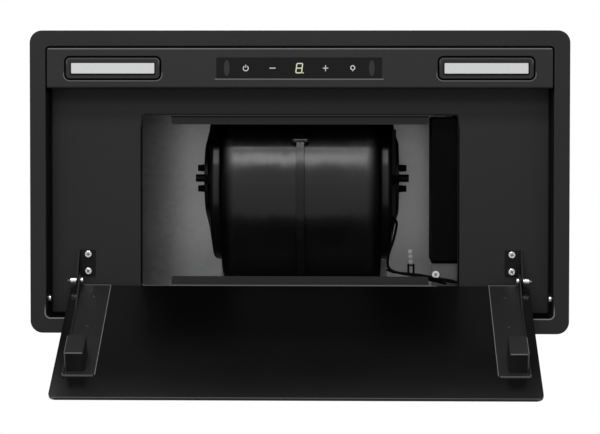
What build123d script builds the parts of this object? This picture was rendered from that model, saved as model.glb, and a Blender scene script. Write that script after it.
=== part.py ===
from build123d import *
from math import cos, sin, tan, radians
import os

# Built-in range hood with a drop-down perimeter panel, in millimetres.
# The origin is the centre of the flange's upper face, which seats under the cabinet.
# +Z goes up into the cabinet, -Y is the front and +X is the cook's right.
# The panel is modelled swung open, the backdraft flaps closed.

# Rim frame: flange and recess walls, one bent sheet
RIM_T = 1.2
FLANGE_LEDGE = 16.5
FLANGE_R = 12.0
FLANGE_EDGE = 0.5
RECESS_W = 492.0
RECESS_D = 262.0
RECESS_R = 3.0
RECESS_H = 27.0
RIM_BEND = 2.2
WALL_H = 38.0

# Ceiling plate of the recess, a tray with a hemmed filter opening
# OPEN_BACK is what the opening leaves of the plate at the rear
CEIL_T = 1.2
CEIL_BEND = 2.4
CEIL_TURN = 11.0
OPEN_W = 311.0
OPEN_D = 168.5
OPEN_BACK = 27.85
OPEN_R = 2.5
HEM_H = 6.0
HEM_BEND = 1.8

# Filter rails
RAIL_T = 0.8
RAIL_END = 28.5
RAIL_D = 9.2
RAIL_RISE = 5.0
RAIL_LEG = 3.2
REAR_RAIL_BEND = 1.2
FRONT_RAIL_BEND = 4.0
RAIL_CORNER = 2.5

# Light and control strip
STRIP_T = 1.2
STRIP_GAP = 0.4
STRIP_D = 39.2
STRIP_BEND = 1.4
LAMP_IN = 64.5
BEZEL_W = 93.6
BEZEL_D = 22.5
BEZEL_R = 5.0
BEZEL_GAP = 0.5
BEZEL_LIP = 0.9
BEZEL_LIP_W = 1.2
BEZEL_H = 7.0
BEZEL_FLANGE = 4.0
BEZEL_FLANGE_T = 1.2
LENS_W = 81.0
LENS_D = 10.6
LENS_H = 4.4
LENS_SHOULDER = 2.4
LENS_STEP = 1.2
LAMP_BOARD_T = 1.6
LAMP_SINK_H = 7.0
FASCIA_W = 161.0
FASCIA_D = 20.5
FASCIA_SINK = 0.7
FASCIA_BACK = 2.0
FASCIA_MARGIN = 3.0
GRIP_X = 70.5
GRIP_W = 6.0
GRIP_D = 16.0
GRIP_SINK = 0.3
CONTROL_H = 14.0
CONTROL_T = 1.5
CONTROL_BOARD_T = 1.6
DIGIT_W = 12.0
DIGIT_D = 17.0
PLUG_GAP = 0.2

# Panel and its hinge. Panel sizes are for the closed panel; OPEN_ANGLE swings it down.
OPEN_ANGLE = 118.0
PIVOT_IN = 34.0
PANEL_SINK = 2.0
PANEL_T = 3.0
PANEL_SKIN = 1.0
PANEL_GAP = 21.0
PANEL_FRONT_GAP = 2.4
PANEL_HEEL = 3.0
PANEL_R = 7.0
PANEL_BEND = 0.8
LINER_GAP = 0.15
PIVOT_UP = 8.0
ARM_T = 1.5
ARM_IN = 9.0
ARM_W = 30.5
ARM_SHORT = 33.5
ARM_HEEL = 2.0
ARM_BEND = 1.2
ARM_EAR_R = 7.0
ARM_EAR_REACH = 42.0
ARM_NOTCH = 2.0
RIVET_R = 2.2
RIVET_H = 0.7
RIVET_NEAR = 18.0
RIVET_FAR = 70.0
CATCH_W = 18.2
CATCH_L = 31.0
CATCH_R = 3.0
CATCH_EDGE = 1.0
CATCH_GAP = 0.3
CATCH_IN = 2.2
CATCH_BACK = 6.0
MAGNET_R = 5.0
MAGNET_SKIN = 1.0

# Hinge brackets and pins
BRACKET_T = 1.5
BRACKET_W = 15.0
BRACKET_AHEAD = 4.0
BRACKET_L = 25.2
BRACKET_BEND = 1.0
BRACKET_EAR_R = 6.5
HINGE_GAP = 1.0
PIN_R = 2.9
PIN_FIT = 0.06
PIN_HEAD_R = 3.4
PIN_HEAD_T = 2.0
PIN_TAIL = 5.8
PIN_TIP_L = 3.2
PIN_TIP_R = 1.2
BRACKET_SCREW_INSET = 4.2
BRACKET_SCREW_R = 2.0
BRACKET_HEAD_R = 3.7
BRACKET_HEAD_H = 2.4

# Casing of thin galvanised sheet round the recess walls
CASE_T = 0.8
CASE_FOOT = 1.4
FOOT_NOTCH = 5.0
CASE_LIP = 14.0
CASE_BEND = 1.0
LIP_RELIEF = 1.0
RIB_W = 6.0
RIB_H = 1.2
RIB_L = 60.0
SCREW_R = 1.6
SCREW_L = 6.5
SCREW_HEAD_R = 3.6
SCREW_HEAD_H = 2.0
SCREW_FIT = 0.05
FIXING_R = 2.5
FIXING_SPAN = 200.0
FIXING_Z = 70.0

# Blower: scroll, wheel, motor, all about an axis along X
WHEEL_R = 80.0
WHEEL_BORE = 66.0
WHEEL_X = 73.0
DISC_T = 2.4
END_RING_T = 2.0
END_RING_W = 6.0
BLADE_COUNT = 36
BLADE_T = 1.1
BLADE_TURN = 11.0
BLADE_BOW = 3.2
SHAFT_R = 4.0
RUN_FIT = 0.03
SCROLL_CLEAR = 8.5
SCROLL_STEP = 6.5
SCROLL_T = 2.5
SCROLL_X = 81.0
SCROLL_SHOULDER = 7.0
TONGUE_ANGLE = 113.0
TONGUE_R = 6.0
NECK_H = 18.0
SEAM_W = 3.7
SEAM_H = 6.0
INLET_R = 66.0
BELL_R = 9.5
BELL_LIP = 3.5
PLENUM_GAP = 11.3
OUTLET_T = 3.0
OUTLET_RIM = 9.0
SEAM_BOLT_ANGLES = (140.0, 196.0, 244.5, 345.0)
BOSS_R = 4.0
BOSS_L = 6.5
SEAM_BOLT_R = 1.6

# Inlet spiders and the rubber mounted motor
SPIDER_T = 3.0
SPIDER_FOOT_R = 82.5
SPIDER_RISE = 8.2
SPIDER_KNEE_R = 56.0
SPIDER_KNEE_UP = 12.5
SPIDER_HUB_R = 36.0
SPIDER_HUB_UP = 17.4
SPIDER_ARM_W = 9.0
SPIDER_FILLET = 3.0
BUSH_PITCH_R = 12.3
BUSH_R = 3.6
BUSH_NECK_R = 2.6
BUSH_OUT = 5.0
BUSH_IN = 4.3
BUSH_FIT = 0.1
MOUNT_BOLT_R = 1.4
MOUNT_HEAD_R = 3.3
MOUNT_HEAD_H = 3.3
NOSE_R = 4.0
NOSE_OUT = 11.0
NOSE_GAP = 1.0
CAN_R = 46.0
CAN_T = 2.0
CAN_GAP = 8.0
CAN_FILLET = 5.0
CAP_T = 2.5
CAP_BOSS_R = 20.0
VENT_COUNT = 8
VENT_W = 12.0
VENT_L = 11.0
VENT_INSET = 8.0
BEARING_R = 11.0
BEARING_W = 7.0
BEARING_POCKET = 2.0
STATOR_L = 36.0
STATOR_BORE = 28.8
AIR_GAP = 0.6
HUB_R = 12.0
HUB_L = 18.0
HUB_FLANGE_R = 20.0
HUB_FLANGE_T = 2.5
HUB_SPIGOT_R = 8.0

# Duct collar with its two backdraft flaps
DUCT_BORE = 150.0
COLLAR_R = 74.5
COLLAR_T = 2.2
COLLAR_H = 48.0
COLLAR_RIM = 90.0
COLLAR_RIM_T = 2.5
COLLAR_SCREW_R = 84.0
FLAP_UP = 14.0
FLAP_T = 1.5
FLAP_GAP = 1.0
FLAP_OFFSET = 3.4
FLAP_BARREL_R = 2.2
FLAP_PIN_R = 1.5
FLAP_BOSS_R = 4.0
FLAP_BOSS_IN = 3.6
STOP_W = 2.3
STOP_T = 1.5
STOP_GAP = 0.3

# Electronics box right of the scroll
ELEC_IN = 25.0
ELEC_W = 41.5
ELEC_BACK = 1.85
ELEC_L = 144.0
ELEC_H = 78.0
ELEC_UP = 6.5
ELEC_T = 2.0
ELEC_R = 3.0
ELEC_LID_T = 2.0
ELEC_FOOT_W = 10.0
ELEC_FOOT_L = 14.0
CAPACITOR_R = 13.0
CAPACITOR_L = 55.0
SUPPORT_T = 1.0
SUPPORT_W = 30.0
SUPPORT_UP = 11.5
SUPPORT_LEG = 24.0
SUPPORT_FOOT = 9.0
SUPPORT_BEND = 1.2

# Leads, gland and side spring clips
LEAD_R = 1.3
LEAD_ANGLE = -51.0
GLAND_IN_X = 43.0
GLAND_IN_Y = 48.0
GLAND_R = 10.0
GLAND_BORE = 4.0
GLAND_H = 16.0
GLAND_NUT_R = 13.0
GLAND_NUT_H = 5.0
GROMMET_R = 6.0
CLIP_IN = 25.0
CLIP_W = 26.0
CLIP_T = 0.8
CLIP_H = 52.0
CLIP_OUT = 7.0
CLIP_SCREW_BACK = 8.5
CLIP_SCREW_Z = 12.0

# Places that follow from the sizes
FLANGE_W = RECESS_W + 2 * FLANGE_LEDGE
FLANGE_D = RECESS_D + 2 * FLANGE_LEDGE
UNDER_Z = -RIM_T
CEIL_Z = UNDER_Z + RECESS_H
CEIL_TOP = CEIL_Z + CEIL_T
OPEN_REAR = RECESS_D / 2 - OPEN_BACK
OPEN_FRONT = OPEN_REAR - OPEN_D
OPEN_Y = (OPEN_FRONT + OPEN_REAR) / 2
RAIL_L = OPEN_W - 2 * RAIL_END
STRIP_FRONT = -RECESS_D / 2 + STRIP_GAP
STRIP_REAR = STRIP_FRONT + STRIP_D
STRIP_Y = (STRIP_FRONT + STRIP_REAR) / 2
STRIP_TOP = UNDER_Z + STRIP_T
FASCIA_TOP = STRIP_TOP + FASCIA_BACK
LAMP_X = RECESS_W / 2 - LAMP_IN
PIVOT_Y = RECESS_D / 2 - PIVOT_IN
PANEL_W = RECESS_W - 2 * PANEL_GAP
PANEL_REACH = PIVOT_Y - STRIP_REAR - PANEL_FRONT_GAP
PANEL_Z = UNDER_Z + PANEL_SINK
LINER_Z = PANEL_Z + PANEL_T
PIVOT_Z = LINER_Z + PIVOT_UP
ARM_X = PANEL_W / 2 - ARM_IN
ARM_REACH = PANEL_REACH - ARM_SHORT
EAR_X = ARM_X + HINGE_GAP
BRACKET_REAR = PIVOT_Y - BRACKET_AHEAD
BRACKET_FRONT = BRACKET_REAR - BRACKET_L
CASE_X = RECESS_W / 2 + RIM_T + CASE_T
CASE_Y = RECESS_D / 2 + RIM_T + CASE_T
SKIRT_SCREW_Z = (CEIL_TOP + WALL_H) / 2
CLIP_Y = RECESS_D / 2 - CLIP_IN
CLIP_SCREW_Y = CLIP_Y + CLIP_SCREW_BACK
GLAND_X = CASE_X - GLAND_IN_X
GLAND_Y = CASE_Y - GLAND_IN_Y
SCROLL_R = WHEEL_R + SCROLL_CLEAR
SCROLL_LOW = SCROLL_R + 1.5 * SCROLL_STEP + SCROLL_T + SEAM_H
SCROLL_REAR = SCROLL_R + 2.5 * SCROLL_STEP
AXIS_Z = CEIL_TOP + PLENUM_GAP + SCROLL_LOW
OUTLET_RISE = SCROLL_R * sin(radians(TONGUE_ANGLE)) - SCROLL_STEP / 2 + NECK_H
SCROLL_TOP = AXIS_Z + OUTLET_RISE
CASE_TOP = SCROLL_TOP + CASE_T
COLLAR_Y = SCROLL_REAR - DUCT_BORE / 2
HUB_X = SCROLL_X + SPIDER_HUB_UP
HUB_IN = HUB_X - SPIDER_T / 2
HUB_OUT = HUB_X + SPIDER_T / 2
MOTOR_END = HUB_IN - BUSH_IN
CAN_END = MOTOR_END - CAP_T
ELEC_X0 = OPEN_W / 2 - ELEC_IN
ELEC_X1 = ELEC_X0 + ELEC_W
ELEC_Y0 = OPEN_FRONT + ELEC_BACK
ELEC_Y1 = ELEC_Y0 + ELEC_L
ELEC_Z0 = CEIL_TOP + ELEC_UP
ELEC_Z1 = ELEC_Z0 + ELEC_H


def block(x, y, z):
    """Box that fills the ranges x, y and z, each a (low, high) pair."""
    spans = (x, y, z)
    middle = [(low + high) / 2 for low, high in spans]
    return Pos(*middle) * Box(*[high - low for low, high in spans])


def slab(width, depth, corner, z, height, x=0.0, y=0.0):
    """Round-cornered plate centred on x, y, standing on z."""
    return Pos(x, y, z) * extrude(RectangleRounded(width, depth, corner), height)


def rod(radius, start, end):
    """Cylinder from one point to another."""
    axis = Vector(*end) - Vector(*start)
    bar = Cylinder(radius, axis.length, align=(Align.CENTER, Align.CENTER, Align.MIN))
    return Plane(origin=start, z_dir=axis) * bar


def axis_rod(radius, x0, x1, y=0.0, z=0.0):
    """Cylinder along X, placed from the blower's axis."""
    return rod(radius, (x0, y, AXIS_Z + z), (x1, y, AXIS_Z + z))


def bent(points, bend, thick):
    """Section of a bent sheet, from its middle line."""
    return trace(FilletPolyline(*points, radius=bend), thick)


def along_x(profile, x0, x1):
    """Solid of a (Y, Z) profile between two places on X."""
    plane = Plane(origin=(x0, 0, 0), x_dir=(0, 1, 0), z_dir=(1, 0, 0))
    return extrude(plane * profile, x1 - x0, dir=(1, 0, 0))


def along_y(profile, y0, y1):
    """Solid of an (X, Z) profile between two places on Y."""
    plane = Plane(origin=(0, y0, 0), x_dir=(1, 0, 0), z_dir=(0, -1, 0))
    return extrude(plane * profile, y1 - y0, dir=(0, 1, 0))


def on_left(part):
    """Left-hand twin of a right-hand part."""
    return mirror(part, about=Plane.YZ)


def edges_at(part, z, half_w, half_d):
    """Edges that lie flat at height z, within a centred window."""
    level = part.edges().filter_by_position(Axis.Z, z - 0.01, z + 0.01)
    inside = []
    for edge in level:
        middle = edge.center()
        if abs(middle.X) < half_w and abs(middle.Y) < half_d:
            inside.append(edge)
    return inside


def turned(profile):
    """Solid turned about the blower's axis from an (X, radius) profile."""
    plane = Plane(origin=(0, 0, AXIS_Z), x_dir=(1, 0, 0), z_dir=(0, 0, 1))
    return revolve(plane * profile, axis=Axis((0, 0, AXIS_Z), (1, 0, 0)))


def screw(seat, inward):
    """Sheet metal screw with its head on the point seat."""
    point = Vector(*seat)
    way = Vector(*inward)
    head = rod(SCREW_HEAD_R, point - way * SCREW_HEAD_H, point)
    return head + rod(SCREW_R, point, point + way * SCREW_L)


def drilled(part, seats):
    """Part with a hole for each screw seat given as (point, inward direction)."""
    for seat, inward in seats:
        point = Vector(*seat)
        way = Vector(*inward)
        part = part - rod(SCREW_R + SCREW_FIT, point - way, point + way * (SCREW_L + 1))
    return part


def skirt_seats():
    """Screws through the casing, the recess walls and the ceiling plate's edge."""
    seats = []
    for side in (-1, 1):
        for place in (-0.6, 0.6):
            seats.append(((side * CASE_X, place * CASE_Y, SKIRT_SCREW_Z), (-side, 0, 0)))
            seats.append(((place * CASE_X, side * CASE_Y, SKIRT_SCREW_Z), (0, -side, 0)))
    return seats


def lid_seats():
    """Screws through the casing's top into the turned lips below it."""
    seats = []
    for side in (-1, 1):
        for place in (-0.75, 0.75):
            x_edge = side * (CASE_X - CASE_LIP / 2)
            y_edge = side * (CASE_Y - CASE_LIP / 2)
            seats.append(((x_edge, place * CASE_Y, CASE_TOP), (0, 0, -1)))
            seats.append(((place * CASE_X, y_edge, CASE_TOP), (0, 0, -1)))
    return seats


def scroll_seats():
    """Screws through the casing's top into the scroll's outlet flange."""
    seats = []
    for side in (-1, 1):
        for place in (-0.4, 0.4):
            x = side * (SCROLL_X + OUTLET_RIM / 2)
            seats.append(((x, COLLAR_Y + place * DUCT_BORE, CASE_TOP), (0, 0, -1)))
    return seats


def collar_seats():
    """Screws through the collar's rim into the casing's top."""
    seats = []
    for angle in (45, 135, 225, 315):
        x = COLLAR_SCREW_R * cos(radians(angle))
        y = COLLAR_Y + COLLAR_SCREW_R * sin(radians(angle))
        seats.append(((x, y, CASE_TOP + COLLAR_RIM_T), (0, 0, -1)))
    return seats


def bracket_screw_places():
    """X and Y of the right bracket's two screws."""
    x = EAR_X - BRACKET_W / 2 - BRACKET_T / 2
    return [(x, BRACKET_FRONT + BRACKET_SCREW_INSET), (x, BRACKET_REAR - BRACKET_SCREW_INSET)]


def clip_seats():
    """Screws from inside the recess through the wall into the side clips."""
    return [((side * RECESS_W / 2, CLIP_SCREW_Y, CLIP_SCREW_Z), (side, 0, 0)) for side in (-1, 1)]


def rim_frame():
    """Flange and recess walls, bent from one sheet."""
    rim = slab(FLANGE_W, FLANGE_D, FLANGE_R, UNDER_Z, RIM_T)
    walls = slab(RECESS_W + 2 * RIM_T, RECESS_D + 2 * RIM_T, RECESS_R + RIM_T, UNDER_Z, RIM_T + WALL_H)
    rim = rim + walls - slab(RECESS_W, RECESS_D, RECESS_R, UNDER_Z, RIM_T + WALL_H)
    rim = fillet(edges_at(rim, UNDER_Z, RECESS_W / 2 + 1, RECESS_D / 2 + 1), RIM_BEND)
    rim = fillet(edges_at(rim, 0, RECESS_W / 2 + 2 * RIM_T, RECESS_D / 2 + 2 * RIM_T), RIM_BEND - RIM_T)
    outline = edges_at(rim, UNDER_Z, FLANGE_W, FLANGE_D)
    outline = [e for e in outline if abs(e.center().X) > FLANGE_W / 2 - FLANGE_R
               or abs(e.center().Y) > FLANGE_D / 2 - FLANGE_R]
    rim = fillet(outline, FLANGE_EDGE)
    return drilled(rim, skirt_seats() + clip_seats())


def ceiling_plate():
    """Shallow tray with turned-up edges and a hemmed filter opening."""
    depth = CEIL_T + CEIL_TURN
    tray = slab(RECESS_W, RECESS_D, RECESS_R, CEIL_Z, depth)
    tray = fillet(edges_at(tray, CEIL_Z, RECESS_W, RECESS_D), CEIL_BEND)
    inside = slab(RECESS_W - 2 * CEIL_T, RECESS_D - 2 * CEIL_T, RECESS_R - CEIL_T, CEIL_TOP, depth)
    inside = fillet(edges_at(inside, CEIL_TOP, RECESS_W, RECESS_D), CEIL_BEND - CEIL_T)
    tray = tray - inside
    tray = tray + slab(OPEN_W + 2 * CEIL_T, OPEN_D + 2 * CEIL_T, OPEN_R + CEIL_T, CEIL_Z, HEM_H, y=OPEN_Y)
    tray = tray - slab(OPEN_W, OPEN_D, OPEN_R, CEIL_Z, HEM_H, y=OPEN_Y)
    tray = fillet(edges_at(tray, CEIL_Z, OPEN_W / 2 + 1, OPEN_D), HEM_BEND)
    for side in (-1, 1):
        for x, y in bracket_screw_places():
            tray = tray - rod(BRACKET_SCREW_R + SCREW_FIT, (side * x, y, CEIL_Z), (side * x, y, CEIL_TOP))
    x, y = control_exit()
    tray = tray - rod(GROMMET_R, (x, y, CEIL_Z - 1), (x, y, CEIL_TOP + 1))
    return drilled(tray, skirt_seats())


def rail(edge_y, way, bend):
    """Ledge for the filter on the hem at edge_y; way is +1 when it reaches to the rear."""
    leg_y = edge_y + way * RAIL_T / 2
    ledge_z = CEIL_Z + RAIL_RISE
    tip_y = edge_y + way * RAIL_D
    section = bent([(leg_y, ledge_z - RAIL_LEG), (leg_y, ledge_z), (tip_y, ledge_z)],
                   min(bend, RAIL_LEG - RAIL_T), RAIL_T)
    strip = along_x(section, -RAIL_L / 2, RAIL_L / 2)
    corners = strip.edges().filter_by(Axis.Z).filter_by_position(Axis.Y, *sorted((tip_y - 0.1, tip_y + 0.1)))
    return fillet(corners, RAIL_CORNER)


def light_strip():
    """Channel across the front of the recess with its three windows."""
    mid = STRIP_T / 2
    front = STRIP_FRONT + mid
    rear = STRIP_REAR - mid
    low = UNDER_Z + mid
    section = bent([(front, CEIL_Z), (front, low), (rear, low), (rear, CEIL_Z)], STRIP_BEND, STRIP_T)
    half = RECESS_W / 2 - STRIP_GAP
    strip = along_x(section, -half, half)
    strip = strip & slab(2 * half, RECESS_D - 2 * STRIP_GAP, RECESS_R - STRIP_GAP / 2, UNDER_Z, RECESS_H)
    for side in (-1, 1):
        strip = strip - slab(BEZEL_W + 2 * BEZEL_GAP, BEZEL_D + 2 * BEZEL_GAP, BEZEL_R + BEZEL_GAP,
                             UNDER_Z, STRIP_T, x=side * LAMP_X, y=STRIP_Y)
    return strip - slab(FASCIA_W, FASCIA_D, 1.0, UNDER_Z, STRIP_T, y=STRIP_Y)


def led_bezel():
    """Right lamp bezel: lip ring below the strip, body and flange above it."""
    low = UNDER_Z - BEZEL_LIP
    body = slab(BEZEL_W, BEZEL_D, BEZEL_R, low, BEZEL_LIP + BEZEL_H)
    body = fillet(edges_at(body, low, BEZEL_W, BEZEL_D), BEZEL_LIP / 2)
    sunk = slab(BEZEL_W - 2 * BEZEL_LIP_W, BEZEL_D - 2 * BEZEL_LIP_W, BEZEL_R - BEZEL_LIP_W, low, BEZEL_LIP)
    flange = slab(BEZEL_W + 2 * BEZEL_FLANGE, BEZEL_D + 2 * BEZEL_FLANGE, BEZEL_R, STRIP_TOP, BEZEL_FLANGE_T)
    seat_z = UNDER_Z + LENS_H - LENS_STEP
    window = slab(LENS_W + 2 * PLUG_GAP, LENS_D + 2 * PLUG_GAP, 1.0, UNDER_Z - 1, LENS_H)
    pocket = slab(LENS_W + 2 * LENS_SHOULDER + 2 * PLUG_GAP, LENS_D + 2 * LENS_SHOULDER + 2 * PLUG_GAP,
                  1.5, seat_z, BEZEL_H)
    bezel = body + flange - sunk - window - pocket
    return Pos(LAMP_X, STRIP_Y, 0) * bezel


def led_lens():
    """Opal window of the right lamp, with the shoulder it rests on."""
    seat_z = UNDER_Z + LENS_H - LENS_STEP
    lens = slab(LENS_W, LENS_D, 0.8, UNDER_Z, LENS_H - LENS_STEP)
    lens = lens + slab(LENS_W + 2 * LENS_SHOULDER, LENS_D + 2 * LENS_SHOULDER, 1.3, seat_z, LENS_STEP)
    return Pos(LAMP_X, STRIP_Y, 0) * lens


def led_module():
    """Lamp board with a finned heat sink, on the lens of the right lamp."""
    base_z = UNDER_Z + LENS_H
    width = LENS_W + 2 * LENS_SHOULDER
    depth = LENS_D + 2 * LENS_SHOULDER
    module = slab(width, depth, 1.3, base_z, LAMP_BOARD_T)
    fin_count = 5
    for i in range(fin_count):
        y = (i - (fin_count - 1) / 2) * depth / fin_count
        fin_z = (base_z + LAMP_BOARD_T, base_z + LAMP_BOARD_T + LAMP_SINK_H)
        module = module + block((-width / 2 + 6, width / 2 - 6), (y - 0.6, y + 0.6), fin_z)
    return Pos(LAMP_X, STRIP_Y, 0) * module


def control_fascia():
    """Gloss key panel let into the strip, with a shallow oval at each end."""
    pad = slab(FASCIA_W - 2 * PLUG_GAP, FASCIA_D - 2 * PLUG_GAP, 0.8, UNDER_Z + FASCIA_SINK, STRIP_T - FASCIA_SINK)
    back = slab(FASCIA_W + 2 * FASCIA_MARGIN, FASCIA_D + 2 * FASCIA_MARGIN, 1.5, STRIP_TOP, FASCIA_BACK)
    fascia = pad + back
    for side in (-1, 1):
        oval = extrude(Ellipse(GRIP_W / 2, GRIP_D / 2), GRIP_SINK)
        fascia = fascia - Pos(side * GRIP_X, 0, UNDER_Z + FASCIA_SINK) * oval
    return Pos(0, STRIP_Y, 0) * fascia


def control_housing():
    """Open-bottomed box on the back of the fascia."""
    box = slab(FASCIA_W, FASCIA_D, 2.0, FASCIA_TOP, CONTROL_H)
    hollow = slab(FASCIA_W - 2 * CONTROL_T, FASCIA_D - 2 * CONTROL_T, 1.0, FASCIA_TOP, CONTROL_H - CONTROL_T)
    return Pos(0, STRIP_Y, 0) * (box - hollow)


def control_board():
    """Key board lying on the fascia, with the digit and the touch springs' blocks."""
    width = FASCIA_W - 2 * CONTROL_T - 2 * PLUG_GAP - 4
    depth = FASCIA_D - 2 * CONTROL_T - 2 * PLUG_GAP
    board_z = FASCIA_TOP + 4
    board = slab(width, depth, 1.0, board_z, CONTROL_BOARD_T)
    board = board + block((-DIGIT_W / 2, DIGIT_W / 2), (-DIGIT_D / 2, DIGIT_D / 2), (FASCIA_TOP, board_z))
    key_pitch = 26.5
    for place in (-2, -1, 1, 2):
        board = board + rod(3.0, (place * key_pitch, 0, FASCIA_TOP), (place * key_pitch, 0, board_z))
    return Pos(0, STRIP_Y, 0) * board


def hinge_bracket():
    """Right bracket under the ceiling plate, its ear carrying the hinge pin."""
    mid_z = CEIL_Z - BRACKET_T / 2
    ear_x = EAR_X + BRACKET_T / 2
    inner_x = EAR_X - BRACKET_W
    section = bent([(inner_x, mid_z), (ear_x, mid_z), (ear_x, PIVOT_Z - BRACKET_EAR_R)], BRACKET_BEND, BRACKET_T)
    angle = along_y(section, BRACKET_FRONT, BRACKET_REAR + 3 * BRACKET_EAR_R)
    eye = Pos(PIVOT_Y, PIVOT_Z) * Circle(BRACKET_EAR_R)
    root_z = CEIL_Z - 2 * BRACKET_T
    root = Pos((BRACKET_FRONT + BRACKET_REAR) / 2, root_z) * Rectangle(BRACKET_REAR - BRACKET_FRONT, 0.2)
    ear = make_hull(eye.edges() + root.edges())
    top = block((0, 2 * EAR_X), (BRACKET_FRONT, BRACKET_REAR), (root_z, CEIL_Z))
    bracket = angle & (along_x(ear, 0, 2 * EAR_X) + top)
    boss = rod(PIN_R + 2.0, (EAR_X - HINGE_GAP + 0.1, PIVOT_Y, PIVOT_Z), (EAR_X, PIVOT_Y, PIVOT_Z))
    bracket = bracket + boss
    bracket = bracket - rod(PIN_R + PIN_FIT, (ARM_X, PIVOT_Y, PIVOT_Z), (EAR_X + 5, PIVOT_Y, PIVOT_Z))
    for x, y in bracket_screw_places():
        bracket = bracket - rod(BRACKET_SCREW_R + SCREW_FIT, (x, y, CEIL_Z - 3), (x, y, CEIL_Z + 1))
    return bracket


def bracket_screws():
    """Four pan head screws that hold the brackets to the ceiling plate."""
    screws = []
    seat_z = CEIL_Z - BRACKET_T
    for side in (-1, 1):
        for x, y in bracket_screw_places():
            head = rod(BRACKET_HEAD_R, (side * x, y, seat_z - BRACKET_HEAD_H), (side * x, y, seat_z))
            head = fillet(edges_at(head, seat_z - BRACKET_HEAD_H, FLANGE_W, FLANGE_D), BRACKET_HEAD_H * 0.45)
            screws.append(head + rod(BRACKET_SCREW_R, (side * x, y, seat_z), (side * x, y, CEIL_TOP + 3)))
    return screws


def hinge_pins():
    """Hinge pins: head inside the arm's ear, long taper-tipped tail outside."""
    ear_in = ARM_X - ARM_T
    tail_x = EAR_X + BRACKET_T + PIN_TAIL
    pin = rod(PIN_HEAD_R, (ear_in - PIN_HEAD_T - 0.1, PIVOT_Y, PIVOT_Z), (ear_in - 0.1, PIVOT_Y, PIVOT_Z))
    pin = pin + rod(PIN_R, (ear_in - 0.1, PIVOT_Y, PIVOT_Z), (tail_x, PIVOT_Y, PIVOT_Z))
    tip = Cone(PIN_R, PIN_TIP_R, PIN_TIP_L, align=(Align.CENTER, Align.CENTER, Align.MIN))
    pin = pin + Plane(origin=(tail_x, PIVOT_Y, PIVOT_Z), z_dir=(1, 0, 0)) * tip
    return [pin, on_left(pin)]


def swung(part):
    """Closed panel piece swung down to the modelled open pose."""
    return Pos(0, PIVOT_Y, PIVOT_Z) * Rot(OPEN_ANGLE, 0, 0) * Pos(0, -PIVOT_Y, -PIVOT_Z) * part


def panel_middle():
    """Y of the closed panel's middle."""
    return PIVOT_Y + (PANEL_HEEL - PANEL_REACH) / 2


def panel_skin():
    """Outer skin of the panel, a flat tray with a low rim."""
    depth = PANEL_REACH + PANEL_HEEL
    skin = slab(PANEL_W, depth, PANEL_R, PANEL_Z, PANEL_T, y=panel_middle())
    skin = fillet(edges_at(skin, PANEL_Z, PANEL_W, RECESS_D), PANEL_BEND)
    hollow = slab(PANEL_W - 2 * PANEL_SKIN, depth - 2 * PANEL_SKIN, PANEL_R - PANEL_SKIN,
                  PANEL_Z + PANEL_SKIN, PANEL_T, y=panel_middle())
    return swung(skin - hollow)


def panel_liner():
    """Inner plate of the panel, flush with the skin's rim."""
    margin = 2 * (PANEL_SKIN + LINER_GAP)
    depth = PANEL_REACH + PANEL_HEEL
    liner = slab(PANEL_W - margin, depth - margin, PANEL_R - PANEL_SKIN - LINER_GAP,
                 PANEL_Z + PANEL_SKIN, PANEL_T - PANEL_SKIN, y=panel_middle())
    return swung(liner)


def arm_middle_x():
    """X of the right arm's middle line."""
    return ARM_X - ARM_W / 2


def hinge_arm():
    """Right hinge arm: plate on the liner, upright ear tapering away from the pivot."""
    heel_y = PIVOT_Y + ARM_HEEL
    toe_y = PIVOT_Y - ARM_REACH
    mid_z = LINER_Z + ARM_T / 2
    ear_x = ARM_X - ARM_T / 2
    top_z = PIVOT_Z + ARM_EAR_R
    section = bent([(ARM_X - ARM_W, mid_z), (ear_x, mid_z), (ear_x, top_z)], ARM_BEND, ARM_T)
    angle = along_y(section, toe_y, PIVOT_Y + ARM_EAR_R)
    eye = Pos(PIVOT_Y, PIVOT_Z) * Circle(ARM_EAR_R)
    low = Pos(PIVOT_Y - ARM_EAR_REACH / 2, LINER_Z + 2 * ARM_T) * Rectangle(ARM_EAR_REACH, 0.2)
    ear = make_hull(eye.edges() + low.edges())
    plate = block((0, ARM_X), (toe_y, heel_y), (LINER_Z, LINER_Z + 2 * ARM_T))
    above = block((0, ARM_X), (toe_y, heel_y + ARM_EAR_R), (LINER_Z, top_z))
    arm = angle & (plate + (along_x(ear, 0, ARM_X) & above))
    corner = Plane(origin=(0, 0, LINER_Z)) * Polygon(
        (ARM_X - ARM_W, toe_y), (ARM_X - ARM_W + ARM_NOTCH, toe_y), (ARM_X - ARM_W, toe_y + ARM_NOTCH),
        align=None)
    arm = arm - extrude(corner, ARM_T)
    arm = arm - rod(PIN_R + PIN_FIT, (ARM_X - 5, PIVOT_Y, PIVOT_Z), (ARM_X + 1, PIVOT_Y, PIVOT_Z))
    for reach in (RIVET_NEAR, RIVET_FAR):
        x, y = arm_middle_x(), PIVOT_Y - reach
        arm = arm - rod(RIVET_R / 2 + SCREW_FIT, (x, y, LINER_Z - 1), (x, y, LINER_Z + ARM_T + 1))
    return swung(arm)


def arm_rivets():
    """Two domed rivets through each arm plate, standing on the liner."""
    rivets = []
    for side in (-1, 1):
        for reach in (RIVET_NEAR, RIVET_FAR):
            x, y = side * arm_middle_x(), PIVOT_Y - reach
            top = LINER_Z + ARM_T
            rivet = rod(RIVET_R / 2, (x, y, LINER_Z), (x, y, top))
            head = Pos(x, y, top) * Cone(RIVET_R, RIVET_R * 0.6, RIVET_H,
                                         align=(Align.CENTER, Align.CENTER, Align.MIN))
            rivets.append(swung(rivet + head))
    return rivets


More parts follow.
